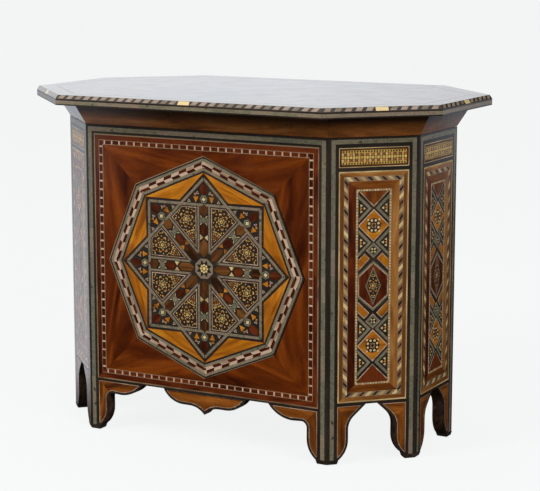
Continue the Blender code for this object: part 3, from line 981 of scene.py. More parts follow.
@dataclass(frozen=True)
class Face:
    """One wall of the box."""

    name: str
    number: int
    kind: FaceKind
    place: Matrix

    @classmethod
    def read(cls, number: int) -> "Face":
        """Reads the wall's frame from its panel: at its middle on the floor, Y inwards."""
        name = FACE_NAMES[number]
        turn = Matrix.Rotation(EIGHTH * number, 4, "Z")
        flat = [turn.inverted() @ point for point in node_points(f"panel_{name}")]
        middle = (min(p.x for p in flat) + max(p.x for p in flat)) / 2
        place = turn @ Matrix.Translation((middle, min(p.y for p in flat), 0.0))
        kind = FaceKind.LONG if number % 4 == 0 else FaceKind.NARROW
        return cls(name, number, kind, place)

    def outline(self, node: str) -> Outline:
        """Outline in millimetres of a CAD piece's outer surface on this wall.

        Args:
            node: the CAD node.

        Returns:
            The outline, anticlockwise as seen from outside.
        """
        shape = bmesh.new()
        shape.from_mesh(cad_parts[node].data)
        shape.transform(self.place.inverted())
        bmesh.ops.remove_doubles(shape, verts=shape.verts, dist=1e-5)
        shown = [f for f in shape.faces if f.normal.y < -0.9 and abs(f.calc_center_median().y) < 1e-4]
        arrows = {(loop.vert.index, loop.link_loop_next.vert.index) for f in shown for loop in f.loops}
        step = {a: b for a, b in arrows if (b, a) not in arrows}
        shape.verts.ensure_lookup_table()
        start = next(iter(step))
        order = [start]
        while step[order[-1]] != start:
            order.append(step[order[-1]])
        points = [(shape.verts[at].co.x / MM, shape.verts[at].co.z / MM) for at in order]
        shape.free()
        return anticlockwise(points)


# Walls


# What a post takes at each side of a wall, with the hairline gap beside it, in millimetres.
POST_EDGE = 15.3
# Height of the black band between the seam and the wall's borders, in millimetres.
TOP_BAND = 15.0

@dataclass
class WallFrame:
    """Stringing that every wall has: the mother-of-pearl frame on its posts and under the seam."""

    half_width: float
    seam: float
    pearl_from_edge: float
    pearl_width: float
    top_from_seam: float
    segment: float = 41.0
    pearl_foot: float = 7.0

    def build(self, work: Marquetry) -> None:
        """Lays the pearl, and the black under it."""
        middle = self.half_width - self.pearl_from_edge - self.pearl_width / 2
        top = self.seam - self.top_from_seam
        edge = self.half_width - POST_EDGE
        work.lay(rectangle(-edge, self.seam - TOP_BAND, edge, self.seam - 0.4), 1, EBONY)
        tile = bar(self.segment - 0.25, self.pearl_width)
        sides = [((side * middle, self.pearl_foot), (side * middle, top)) for side in (-1, 1)]
        work.run(sides, self.segment, tile, 2, PEARL, seed=11)
        inner = middle - self.pearl_width / 2
        level = top - self.pearl_width / 2
        work.run([((-inner, level), (inner, level))], self.segment, tile, 2, PEARL, seed=17)


@dataclass
class Ladder:
    """A frame of two light lines with light rungs between them, on dark red."""

    outer: Outline
    line: float = 1.0
    width: float = 8.0
    pitch: float = 14.3
    rung: float = 2.7

    def build(self, work: Marquetry, layer: int) -> Outline:
        """Lays the ladder.

        Args:
            work: the marquetry that it is part of.
            layer: its layer.

        Returns:
            The outline inside it.
        """
        first = inset(self.outer, self.line)
        second = inset(self.outer, self.width - self.line)
        inner = inset(self.outer, self.width)
        work.frame(self.outer, first, layer, TAUPE, [0.9, 0.3, 0.9, 0.3])
        work.frame(first, second, layer, RED, [0.2, -0.2, 0.4, -0.4])
        work.frame(second, inner, layer, TAUPE, [1.1, 0.5, 1.3, 0.5])
        middle = inset(self.outer, self.width / 2)
        tile = bar(self.rung, self.width - 2 * self.line)
        work.run(edges(middle), self.pitch, tile, layer + 1, BONE, (-0.2, 0.9), 5, False)
        return inner


@dataclass
class Mosaic:
    """A field of small triangles set round a rosette."""

    field: Outline
    centre: Point
    turn: float
    side: float = 3.5
    chip: float = 0.80

    def colour(self, distance: float, outward: bool) -> Finish | None:
        """The finish of a triangle by its distance from the rosette's middle, in sides."""
        rings = (
            (0.8, YELLOW, YELLOW),
            (1.3, None, None),
            (1.75, GOLD, CREAM),
            (2.2, None, BROWN),
            (2.45, CREAM, YELLOW),
            (2.9, RED, None),
            (3.4, GOLD, BROWN),
            (4.1, None, CREAM),
            (4.9, BROWN, None),
            (5.8, YELLOW, RED),
            (7.0, None, CREAM),
            (8.2, GOLD, None),
            (99.0, CREAM, BROWN),
        )
        for limit, out, inwards in rings:
            if distance < limit:
                return out if outward else inwards
        return None

    def build(self, work: Marquetry, layer: int) -> None:
        """Lays the black ground, then the triangles whose middle falls in the field."""
        work.lay(self.field, layer, EBONY)
        rise = self.side * math.sqrt(3) / 2
        tile = regular(3, self.side / math.sqrt(3) * self.chip)
        found: dict[str, tuple[Finish, list]] = {}
        ground = inset(self.field, 0.45 * self.side)
        reach = range(-26, 27)
        for row, column, up in product(reach, reach, (True, False)):
            u = (column + row / 2 + (0.5 if up else 1.0)) * self.side
            v = (row + (1 / 3 if up else 2 / 3)) * rise
            (x, y), = moved(turned([(u, v)], self.turn), *self.centre)
            if not inside((x, y), ground):
                continue
            heading = math.degrees(math.atan2(v, u)) - (90 if up else 270)
            outward = abs((heading + 60) % 120 - 60) < 31
            finish = self.colour(math.hypot(u, v) / self.side, outward)
            if finish is None:
                continue
            tone = ((row * 7 + column * 13) % 9 - 7) / 6
            place = (x, y, self.turn + (0 if up else 180), 1.0, tone)
            found.setdefault(finish.name, (finish, []))[1].append(place)
        for finish, places in found.values():
            work.spot(places, tile, layer + 1, finish)


@dataclass
class Medallion:
    """The eight-pointed star in its octagon."""

    centre: Point
    radius: float = 180.0
    grey_line: float = 1.3
    black_line: float = 2.3
    pearl: float = 4.4
    bricks: float = 9.6
    inner_black: float = 3.0
    star_edge: float = 107.5
    star_black: float = 3.6
    star_pearl: float = 4.2
    arm: float = 12.0
    arm_pearl: float = 3.2

    def octagon(self, apothem: float) -> Outline:
        """An octagon with corners at the top and the sides, anticlockwise from the right."""
        return regular(8, apothem / OCTAGON, 0.0)

    def at(self, points: Outline, turn: float = 0.0) -> Outline:
        """Points drawn for the upper arm, turned, and carried to the medallion's centre."""
        return moved(turned(points, turn), *self.centre)

    def build_band(self, work: Marquetry) -> float:
        """Lays the octagonal band, its pearl and its bricks.

        Args:
            work: the wall's marquetry.

        Returns:
            The distance from the centre to the band's inner edge.
        """
        edge = self.radius * OCTAGON
        widths = (
            (self.grey_line, TAUPE, [0.2]),
            (self.black_line, EBONY, None),
            (self.pearl, None, None),
            (self.bricks, BONE, [0.2, -0.2, 0.3, 0.0]),
            (self.pearl, None, None),
            (self.inner_black, EBONY, None),
        )
        for width, finish, tones in widths:
            outer, inner = self.octagon(edge), self.octagon(edge - width)
            work.frame(self.at(outer), self.at(inner), 1, finish or EBONY, tones)
            middle = edge - width / 2
            if finish is None:
                sides = edges(self.at(self.octagon(middle)))
                work.run(sides, 27.0, bar(26.8, width - 0.3), 2, PEARL, (-0.9, 0.7), 23)
            if finish is BONE:
                self.build_bricks(work, middle)
            edge -= width
        return edge

    def build_bricks(self, work: Marquetry, middle: float) -> None:
        """Lays two staggered rows of dark red bricks in the bone band, and a brick at each corner.

        Args:
            work: the marquetry that it is part of.
            middle: the distance from the centre to the middle of the bone band.
        """
        row = self.bricks * 0.25
        half = middle * math.tan(EIGHTH / 2)
        step = half * 2 / 8.35
        rows: dict[int, list] = {-1: [], 1: []}
        corners = []
        for side in range(8):
            heading = 22.5 + 45 * side
            for k in range(8):
                which = 1 if k % 2 else -1
                along = (k - 3.5) * step
                u, v = turned([(middle + which * -row, along)], heading)[0]
                rows[which].append((*moved([(u, v)], *self.centre)[0], heading + 90, 1.0, ((side + k) % 5 - 2) / 4))
            corner = self.at([polar(middle / OCTAGON - 2.6, 45 * side)])[0]
            corners.append((*corner, 45 * side + 90, 1.0, 0.0))
        for which in (1, -1):
            work.spot(rows[which], slanted(step, 4.7, -2.6 * which), 2, RED)
        work.spot(corners, bar(5.2, 3.6), 2, BROWN)

    def build_gold(self, work: Marquetry, edge: float) -> None:
        """Lays the eight golden fields between the star and the band.

        Args:
            work: the marquetry that it is part of.
            edge: the distance from the centre to the band's inner edge.
        """
        radius, notch = edge / OCTAGON, self.star_edge / OCTAGON
        for k in range(8):
            field_outline = [polar(radius, 45 * k), polar(radius, 45 * k + 45), polar(notch, 45 * k + 22.5)]
            tone = (0.2, 0.0, 0.4, -0.5, -0.2, 0.1, 0.3, -0.1)[k]
            work.lay(self.at(field_outline), 1, GOLD, 45 * k + 22.5 + 90, tone)

    def build_star(self, work: Marquetry) -> None:
        """Lays the black star, the pearl squares over it, and what fills the arms and kites."""
        tip = self.star_edge * math.sqrt(2)
        work.lay(self.at(star(8, tip, self.star_edge / OCTAGON)), 2, EBONY)
        strip = self.star_edge - self.star_black - self.star_pearl / 2
        for number, first in enumerate((45.0, 0.0)):
            sides = edges(self.at(regular(4, strip * math.sqrt(2), first)))
            work.run(sides, 4.6, bar(4.35, self.star_pearl), 3 + number, PEARL, (-1.3, 0.4), 31 + number)
        inner = self.star_edge - self.star_black - self.star_pearl
        for k in range(8):
            self.build_arm(work, 45.0 * k, inner, k)
            self.build_tip(work, 45.0 * k, k)
            self.build_kite(work, 45.0 * k, inner)
        self.build_centre(work)

    def build_arm(self, work: Marquetry, turn: float, inner: float, number: int) -> None:
        """Lays one arm, drawn upwards from the centre.

        Args:
            work: the marquetry that it is part of.
            turn: the arm's angle in degrees, 0 for the upper one.
            inner: the distance from the centre to the inside of the star's pearl.
            number: the arm's number, which picks its woods and tones.
        """
        d = self.arm - self.arm_pearl / 2 - 0.4
        low = d / math.tan(EIGHTH / 2)
        lines = [tuple(self.at([(side * d, low), (side * d, inner)], turn)) for side in (-1, 1)]
        work.run(lines, 6.0, bar(5.8, self.arm_pearl), 3, PEARL, (-1.4, 0.2), 41 + number)
        tones = ((0.7, -0.4, 0.2), (-0.6, 0.3, 0.5), (0.4, 0.6, -0.3), (-0.2, -0.7, 0.6))[number % 4]
        # Half width of the arm's hexagons, and the distance at which its two diagonals cross.
        w, crossing = 6.7, 77.5
        shapes = (
            (BROWN, [(0, 17.5), (w, 25), (w, 41), (0, 47.5), (-w, 41), (-w, 25)], tones[0]),
            (RED, [(0, 53.5), (w, 58), (w, 66), (0, 70.5), (-w, 66), (-w, 58)], tones[1]),
            (BROWN, [(0, 84.5), (w, 90), (w, 98), (0, 103.5), (-w, 98), (-w, 90)], tones[2]),
        )
        for finish, outline, tone in shapes:
            work.lay(self.at(outline, turn), 5, finish, turn + 90, tone)
        for side in (-1, 1):
            bits = [(side * 7.2, 45.5), (side * 7.2, 54.5), (side * 1.0, 50.0)]
            work.lay(self.at(bits, turn), 4, GOLD if number % 2 else CREAM, turn, -0.4)
            wedge = [(side * 7.2, 71.5), (side * 7.2, 83.5), (side * 3.0, crossing)]
            work.lay(self.at(wedge, turn), 4, PEARL, turn, 0.4)
        for side in (-1, 1):
            cross = [(-side * 6.9, 70.0), (-side * 5.6, 70.0), (side * 6.9, 85.0), (side * 5.6, 85.0)]
            work.lay(self.at(cross, turn), 5 if side > 0 else 6, CREAM, turn + side * 50, 0.3)
        work.lay(self.at(moved(regular(6, 5.6), 0, crossing), turn), 7, EBONY)
        work.lay(self.at(moved(regular(6, 4.8), 0, crossing), turn), 8, PEARL, turn, 0.8 - 0.3 * (number % 4))

    def build_tip(self, work: Marquetry, turn: float, number: int) -> None:
        """Lays what fills one point of the star.

        Args:
            work: the marquetry that it is part of.
            turn: the arm's angle in degrees, 0 for the upper one.
            number: the point's number, which picks its tone.
        """
        diamond = [(0, 137.5), (6.8, 129), (5.0, 120.5), (0, 117.5), (-5.0, 120.5), (-6.8, 129)]
        work.lay(self.at(diamond, turn), 5, RED, turn + 90, (0.2, -0.5, 0.6)[number % 3])
        eye = 111.0
        rings = ((6, 7.0, 0.0, PEARL, 0.6), (6, 4.4, 0.0, EBONY, 0.0), (4, 3.6, 90.0, CREAM, 0.0))
        for layer, (sides, radius, first, finish, tone) in enumerate(rings, 6):
            grain = 0.0 if finish is EBONY else turn
            work.lay(self.at(moved(regular(sides, radius, first), 0, eye), turn), layer, finish, grain, tone)
        for side in (-1, 1):
            arrow = [(side * 9.6, 114.6), (side * 19.0, 114.6), (side * 14.6, 105.2)]
            work.lay(self.at(arrow, turn), 5, GOLD, turn, 0.2)
            work.lay(self.at(moved(regular(3, 2.9, -90.0), side * 15.6, 118.4), turn), 5, AMBER, turn, 0.6)
        places = []
        for side, (u, v), angle in product((-1, 1), ((11.6, 120.5), (27.0, 107.2)), (90, 210, 330)):
            du, dv = polar(1.75, angle)
            places.append((*self.at([(side * u + du, v + dv)], turn)[0], turn, 1.0, 0.4))
        work.spot(places, regular(3, 1.65), 5, BONE)

    def build_kite(self, work: Marquetry, turn: float, inner: float) -> None:
        """Lays the kite to the right of one arm.

        Args:
            work: the marquetry that it is part of.
            turn: the arm's angle in degrees, 0 for the upper one.
            inner: the distance from the centre to the inside of the star's pearl.
        """
        a = self.arm
        reach = inner - 0.3
        low = a / math.tan(EIGHTH / 2)
        far = reach * math.sqrt(2)
        slope = a * math.sqrt(2)
        kite = [(a, low), ((far - slope) / 2, (far + slope) / 2), (far - reach, reach), (a, reach)]
        outline = anticlockwise(self.at(kite, turn))
        work.lay(inset(outline, 1.7), 4, BONE, turn, -0.7)
        centre = self.at([polar(83.5, 90 - 22.5)], turn)[0]
        Mosaic(inset(outline, 3.0), centre, turn - 22.5).build(work, 5)

    def build_centre(self, work: Marquetry) -> None:
        """Lays the flower in the middle."""
        work.lay(self.at(regular(8, 17.2, 22.5)), 4, PEARL, 0.0, -0.6)
        work.lay(self.at(star(8, 14.8, 8.8, 22.5)), 6, EBONY)
        work.lay(self.at(regular(12, 2.8)), 7, YELLOW)
        petals = [(*self.at([polar(5.7, 45 * k)])[0], 45.0 * k + 90, 1.0, 0.3) for k in range(8)]
        work.spot(petals, regular(8, 1.95, 22.5), 7, CREAM)


@dataclass
class LongWall:
    """A long wall: ladder border, walnut field and medallion."""

    half_width: float
    seam: float
    foot: float
    centre_height: float = 290.7
    centre_shift: float = 1.5

    def build(self, paints: Paintbox, trees: GeometryTrees) -> dict[str, bpy.types.Mesh]:
        """Builds the wall's marquetry, in the wall's own frame.

        Args:
            paints: the materials.
            trees: the Geometry Nodes trees.

        Returns:
            The meshes by part: stringing, veneers and medallion.
        """
        strings = Marquetry("long_stringing", paints, trees)
        veneers = Marquetry("long_veneers", paints, trees)
        star_work = Marquetry("long_medallion", paints, trees)
        WallFrame(self.half_width, self.seam, 4.0, 7.0, 4.0).build(strings)
        edge = self.half_width - POST_EDGE
        strings.lay(rectangle(-edge, self.foot + 0.2, edge, self.foot + 2.4), 1, EBONY)
        outer = rectangle(-edge, self.foot + 2.4, edge, self.seam - TOP_BAND)
        border = inset(outer, [1.9] * 4)
        ladder = inset(border, [8.3, 7.4, 7.4, 7.4])
        strings.frame(outer, border, 1, TAUPE, [-0.5, -0.3, 0.6, 0.3])
        veneers.frame(border, ladder, 1, RED, [0.2, 0.3, 0.75, -0.3])
        inner = Ladder(ladder).build(strings, 1)
        self.build_field(veneers, inner)
        medallion = Medallion((self.centre_shift, self.centre_height))
        gold_edge = medallion.build_band(star_work)
        medallion.build_gold(veneers, gold_edge)
        medallion.build_star(star_work)
        return {"stringing": strings.build(), "veneers": veneers.build(), "medallion": star_work.build()}

    def build_field(self, work: Marquetry, inner: Outline) -> None:
        """Lays the walnut in eight mitred pieces round the medallion.

        Args:
            work: the marquetry that it is part of.
            inner: the outline of the field.
        """
        centre = (self.centre_shift, self.centre_height)
        radius = Medallion(centre).radius
        corner = radius / math.sqrt(2)
        left, low, right, high = inner[0][0], inner[0][1], inner[2][0], inner[2][1]
        tones = iter((0.35, -0.35, 0.45, 0.05, -0.55, 0.25, -0.15, -0.5))
        for su, sv in product((-1, 1), (-1, 1)):
            side_u = right if su > 0 else left
            side_v = high if sv > 0 else low
            mitre = (su * corner, centre[1] + sv * corner)
            flat = [(0.0, centre[1] + sv * radius), mitre, (side_u, side_v), (0.0, side_v)]
            tall = [(su * radius, centre[1]), (side_u, centre[1]), (side_u, side_v), mitre]
            work.lay(flat, 1, FIELD, su * sv * 9.0, next(tones))
            work.lay(tall, 1, FIELD, 90 - su * sv * 9.0, next(tones))


@dataclass
class NarrowWall:
    """A narrow wall: a band of small squares over a tall panel with a rope border."""

    half_width: float
    seam: float
    foot: float
    panel_half: float = 56.5
    square: float = 4.4

    def below(self, points: Outline) -> Outline:
        """Turns points given as depth below the seam into heights."""
        return [(u, self.seam - b) for u, b in points]

    def box(self, half: float, top: float, bottom: float) -> Outline:
        """A rectangle between two depths below the seam."""
        return rectangle(-half, self.seam - bottom, half, self.seam - top)

    def build(self, paints: Paintbox, trees: GeometryTrees) -> dict[str, bpy.types.Mesh]:
        """Builds the wall's marquetry, in the wall's own frame.

        Args:
            paints: the materials.
            trees: the Geometry Nodes trees.

        Returns:
            The meshes by part: stringing, veneers and mosaic.
        """
        strings = Marquetry("narrow_stringing", paints, trees)
        veneers = Marquetry("narrow_veneers", paints, trees)
        mosaic = Marquetry("narrow_mosaic", paints, trees)
        WallFrame(self.half_width, self.seam, 5.0, 6.6, 3.4).build(strings)
        edge = self.half_width - POST_EDGE
        ground = rectangle(-edge, self.foot + 0.2, edge, self.seam - TOP_BAND)
        veneers.lay(ground, 1, EBONY)
        self.build_squares(mosaic)
        self.build_panel(strings, veneers)
        self.build_lozenges(mosaic)
        return {"stringing": strings.build(), "veneers": veneers.build(), "mosaic": mosaic.build()}

    def build_squares(self, work: Marquetry) -> None:
        """Lays the band of small squares at the top."""
        outer = self.box(self.panel_half, 16.0, 46.0)
        work.frame(outer, inset(outer, 1.3), 2, CREAM, [-0.8])
        work.frame(inset(outer, 2.5), inset(outer, 4.3), 2, RED, [0.6])
        middle = self.seam - 31.0
        for sign in (-1, 1):
            level = middle + sign * 9.0
            work.lay(rectangle(-52.0, level - 2.3, 52.0, level + 2.3), 2, YELLOW, 0.0, -0.6)
            work.run([((-51.5, level), (51.5, level))], self.square, bar(2.3, 2.6), 3, EBONY, (0, 0), 3, False)
        for row, woods in ((-1, (CREAM, GOLD)), (0, (YELLOW, YELLOW)), (1, (CREAM, GOLD))):
            for first, wood in enumerate(woods):
                places = [(self.square * (k - 11.5), middle + row * 4.5) for k in range(first, 24, 2)]
                tones = [((k * 5 + row) % 7 - 4 + first) / 4 for k in range(len(places))]
                work.spot([(*at, 0.0, 1.0, tone) for at, tone in zip(places, tones)], bar(3.4, 3.9), 3, wood)

    def build_panel(self, strings: Marquetry, veneers: Marquetry) -> None:
        """Lays the mitred borders and the rope band of the tall panel.

        Args:
            strings: the wall's stringing.
            veneers: the wall's veneers.
        """
        low = self.seam - self.foot - 3.6
        edge = self.box(self.panel_half, 52.0, low)
        line = inset(edge, 2.0)
        rope = inset(edge, [8.4, 8.1, 8.0, 8.1])
        inner = inset(rope, 7.5)
        dots = inset(inner, [11.4, 12.0, 12.2, 12.0])
        strings.frame(edge, line, 2, CREAM, [-0.3, -0.5, -0.2, -0.4])
        veneers.frame(line, rope, 2, AMBER, [-0.2, -0.9, 0.2, -1.1])
        strings.frame(rope, inner, 2, TAUPE, [0.3, 0.0, 0.2, 0.1])
        veneers.frame(inner, dots, 2, (APRON, AMBER, APRON, RED), [-0.3, 0.0, -0.3, 0.2])
        self.build_rope(strings, inset(rope, 3.75))
        core = inset(dots, [3.2, 3.9, 3.2, 3.9])
        strings.frame(dots, core, 2, TAUPE, [0.9])
        ring = inset(dots, [1.6, 1.95, 1.6, 1.95])
        strings.run(edges(ring), 4.5, bar(2.7, 2.4), 3, CREAM, (-0.8, 0.5), 9, False)

    def build_rope(self, work: Marquetry, middle: Outline) -> None:
        """Lays the twisted band: slanted cream pieces, and black and brown ones in turn between them.

        Args:
            work: the marquetry that it is part of.
            middle: the line that the band follows.
        """
        period = 22.4
        laid: dict[tuple[float, str], list[Place]] = {}
        for side, (start, end) in enumerate(edges(middle)):
            a, b = Vector(start), Vector(end)
            count = round((b - a).length / period)
            heading = math.degrees(math.atan2(b.y - a.y, b.x - a.x))
            hand = 1.0 if side in (0, 3) else -1.0
            for k in range(count):
                at, dark = a.lerp(b, (k + 0.25) / count), (EBONY, BROWN)[k % 2]
                laid.setdefault((hand, dark.name), []).append((at.x, at.y, heading, 1.0, 0.1 * (k % 5) - 0.4))
                at = a.lerp(b, (k + 0.75) / count)
                tone = 0.25 * ((3 * k) % 5) - 0.4
                laid.setdefault((hand, CREAM.name), []).append((at.x, at.y, heading, 1.0, tone))
        for hand, (finish, length, width) in product(
            (1.0, -1.0), ((CREAM, 6.8, 6.7), (EBONY, 5.2, 6.0), (BROWN, 5.2, 6.0))
        ):
            work.spot(laid[hand, finish.name], slanted(length, width, 6.8 * hand), 3, finish)

    def build_lozenges(self, work: Marquetry) -> None:
        """Lays the crossing bands, triangles, diamonds and hexagon of the inner panel."""
        core = self.box(24.4, 83.2, 381.6)
        centre = 229.9
        for lower in (False, True):
            self.build_half(work, core, centre, lower)
        hexagon = [(0, 195.4), (22.9, 215.5), (22.9, 244.3), (0, 264.4), (-22.9, 244.3), (-22.9, 215.5)]
        outline = list(reversed(self.below(hexagon)))
        work.lay(clipped(inset(outline, -3.6), core), 3, PEARL, 0.0, 0.2)
        work.lay(clipped(inset(outline, -1.2), core), 4, BONE, 0.0, -0.2)
        work.lay(outline, 5, RED, 90.0, 0.1)
        rhomb = self.below([(0, 260.2), (12.6, centre), (0, 199.6), (-12.6, centre)])
        work.lay(rhomb, 6, PEARL, 0.0, 0.1)
        work.lay(inset(rhomb, 1.5), 7, TAUPE, 0.0, -0.3)
        Mosaic(inset(rhomb, 1.9), (0.0, self.seam - centre), 0.0, 2.7).build(work, 8)

    def build_half(self, work: Marquetry, core: Outline, centre: float, lower: bool) -> None:
        """Lays the upper or the lower half of the inner panel.

        Args:
            work: the marquetry.
            core: the inner panel's outline, which everything is cut to.
            centre: the depth of its middle below the seam.
            lower: whether the half is mirrored below the middle.
        """

        def put(points: Outline, layer: int, finish: Finish, grain: float = 0.0, tone: float = 0.0) -> None:
            """Lays points given as depths, cut to the panel."""
            drawn = self.below([(u, 2 * centre - b) for u, b in points] if lower else points)
            work.lay(clipped(anticlockwise(drawn), core), layer, finish, grain, tone)

        put([(-32.2, 75.0), (32.2, 75.0), (0, 107.2)], 3, BONE, 0.0, -0.2)
        put([(-30.4, 75.0), (30.4, 75.0), (0, 105.4)], 4, RED if lower else APRON, 90.0, 1.2 if lower else 0.5)
        # Wedges and slabs run past the panel to here, and are cut off at its edge.
        past = 30.0
        for depth in (109.4, 162.6):
            for side in (-1, 1):
                wedge = [(side * past, depth - 26.6), (side * 3.2, depth), (side * past, depth + 26.6)]
                put(wedge, 3, PEARL, 45.0, 0.3 * side)
                put([(side * past, depth - 20.8), (side * 9.0, depth), (side * past, depth + 20.8)], 4, EBONY)
                for du, db, tone in ((15.2, 0.0, 0.5), (20.3, -4.6, 0.1), (20.3, 4.6, 0.7), (20.6, 0.0, 0.3)):
                    finish = GOLD if du == 20.6 else CREAM
                    bit = moved(regular(3, 2.7, 180.0 if side > 0 else 0.0), side * du, depth + db)
                    put(bit, 5, finish, 0.0, tone)
        # Depths of the middles of the large diamond and of the small one under it.
        large, small = 136.0, 174.6
        for radius, layer, finish in ((25.4, 4, BONE), (23.4, 5, GOLD)):
            put(moved(regular(4, radius), 0, large), layer, finish, 0.0, -0.1)
        put(moved(regular(16, 11.6), 0, large), 6, EBONY)
        for k in range(8):
            u, v = polar(8.3, 45 * k + 22.5)
            put(moved(regular(8, 2.0), u, large + v), 7, CREAM, 0.0, 0.6)
            u, v = polar(3.4, 45 * k)
            put(moved(regular(3, 1.5, 45.0 * k), u, large + v), 7, BONE if k % 2 else GOLD, 0.0, 0.2)
        for k in range(4):
            u, v = polar(12.6, 45 + 90 * k)
            put(moved(regular(6, 1.7), u, large + v), 7, CREAM, 0.0, 0.4)
        put(moved(regular(4, 12.0), 0, small), 5, BONE, 0.0, -0.4)
        put(moved(regular(4, 10.6), 0, small), 6, PEARL, 0.0, 0.5)
        put(moved(regular(4, 6.6), 0, small), 7, EBONY)
        for k in range(4):
            u, v = polar(3.0, 90 * k + 45)
            put(moved(regular(4, 1.7, 45.0), u, small + v), 8, CREAM, 0.0, 0.3)
        for side in (-1, 1):
            slab = [(side * 14.2, 178.6), (side * 5.6, 187.4), (side * past, 211.6), (side * past, 194.4)]
            put(slab, 3, BONE, 0.0, -0.3)
            slab = [(side * 14.2, 180.2), (side * 7.2, 187.4), (side * past, 210.0), (side * past, 196.0)]
            put(slab, 4, GOLD, 45.0 * side, 0.2 * side)


# Brackets and pendants


@dataclass
class Apron:
    """Stringing and veneer on the brackets and the pendant of one wall."""

    face: Face
    paints: Paintbox
    trees: GeometryTrees
    straight: float = 1.6
    edge: float = 3.9
    string: float = 1.0

    def build(self) -> bpy.types.Object:
        """Builds one piece for the wall's whole apron."""
        work = Marquetry(f"apron_{self.face.name}", self.paints, self.trees)
        nodes = [f"bracket_{self.face.name}_l", f"bracket_{self.face.name}_r"]
        if self.face.kind is FaceKind.LONG:
            nodes.append(f"pendant_{self.face.name}")
        for number, node in enumerate(nodes):
            self.dress(work, self.face.outline(node), number)
        mesh = work.build()
        return carried(f"{self.face.name}_apron_inlay", mesh, self.face.place, "chest")

    def dress(self, work: Marquetry, outline: Outline, number: int) -> None:
        """Lays the black edge, the light string and the veneer of one bracket or pendant.

        Args:
            work: the wall's apron.
            outline: the piece's outline.
            number: 0 for the left bracket, 1 for the right one and 2 for the pendant.
        """
        top = max(v for _, v in outline)
        steps = []
        for (u, v), (w, z) in edges(outline):
            level = abs(v - z) < 0.01 and v > top - 0.01
            plumb = abs(u - w) < 0.01 and abs(v - z) > 40.0
            steps.append(self.straight if level or plumb else self.edge)
        black = inset(outline, steps)
        light = inset(outline, [step + self.string for step in steps])
        work.frame(inset(outline, 0.05), black, 1, EBONY)
        work.frame(black, light, 1, BONE, [-0.8])
        if number == 2:
            work.lay(light, 1, APRON, 0.0, 0.3)
            return
        self.mitred(work, light, number, top)

    def mitred(self, work: Marquetry, light: Outline, number: int, top: float) -> None:
        """Cuts the veneer along the mitre between the lobe and the leg.

        Args:
            work: the marquetry that it is part of.
            light: the outline inside the light string.
            number: 0 for the left bracket, 1 for the right one.
            top: the height of the bracket's top edge.
        """
        side = -1 if number == 0 else 1
        heel = min(u for u, _ in light) if side < 0 else max(u for u, _ in light)
        slope = 1.0 if self.face.kind is FaceKind.LONG else 2.2
        far = 300.0
        corner = (heel, top)
        away = (heel - side * far, top - far * slope)
        upper = [corner, away, (heel - side * far, top + far), (heel, top + far)]
        lower = [corner, away, (heel - side * far, top - far * 3), (heel + side * far, top - far * 3)]
        lower.append((heel + side * far, top))
        for cutter, grain, tone in ((upper, side * -8.0, 0.1 + 0.2 * side), (lower, 90.0, -0.25)):
            work.lay(clipped(light, anticlockwise(cutter)), 1, APRON, grain, tone)


# Lid


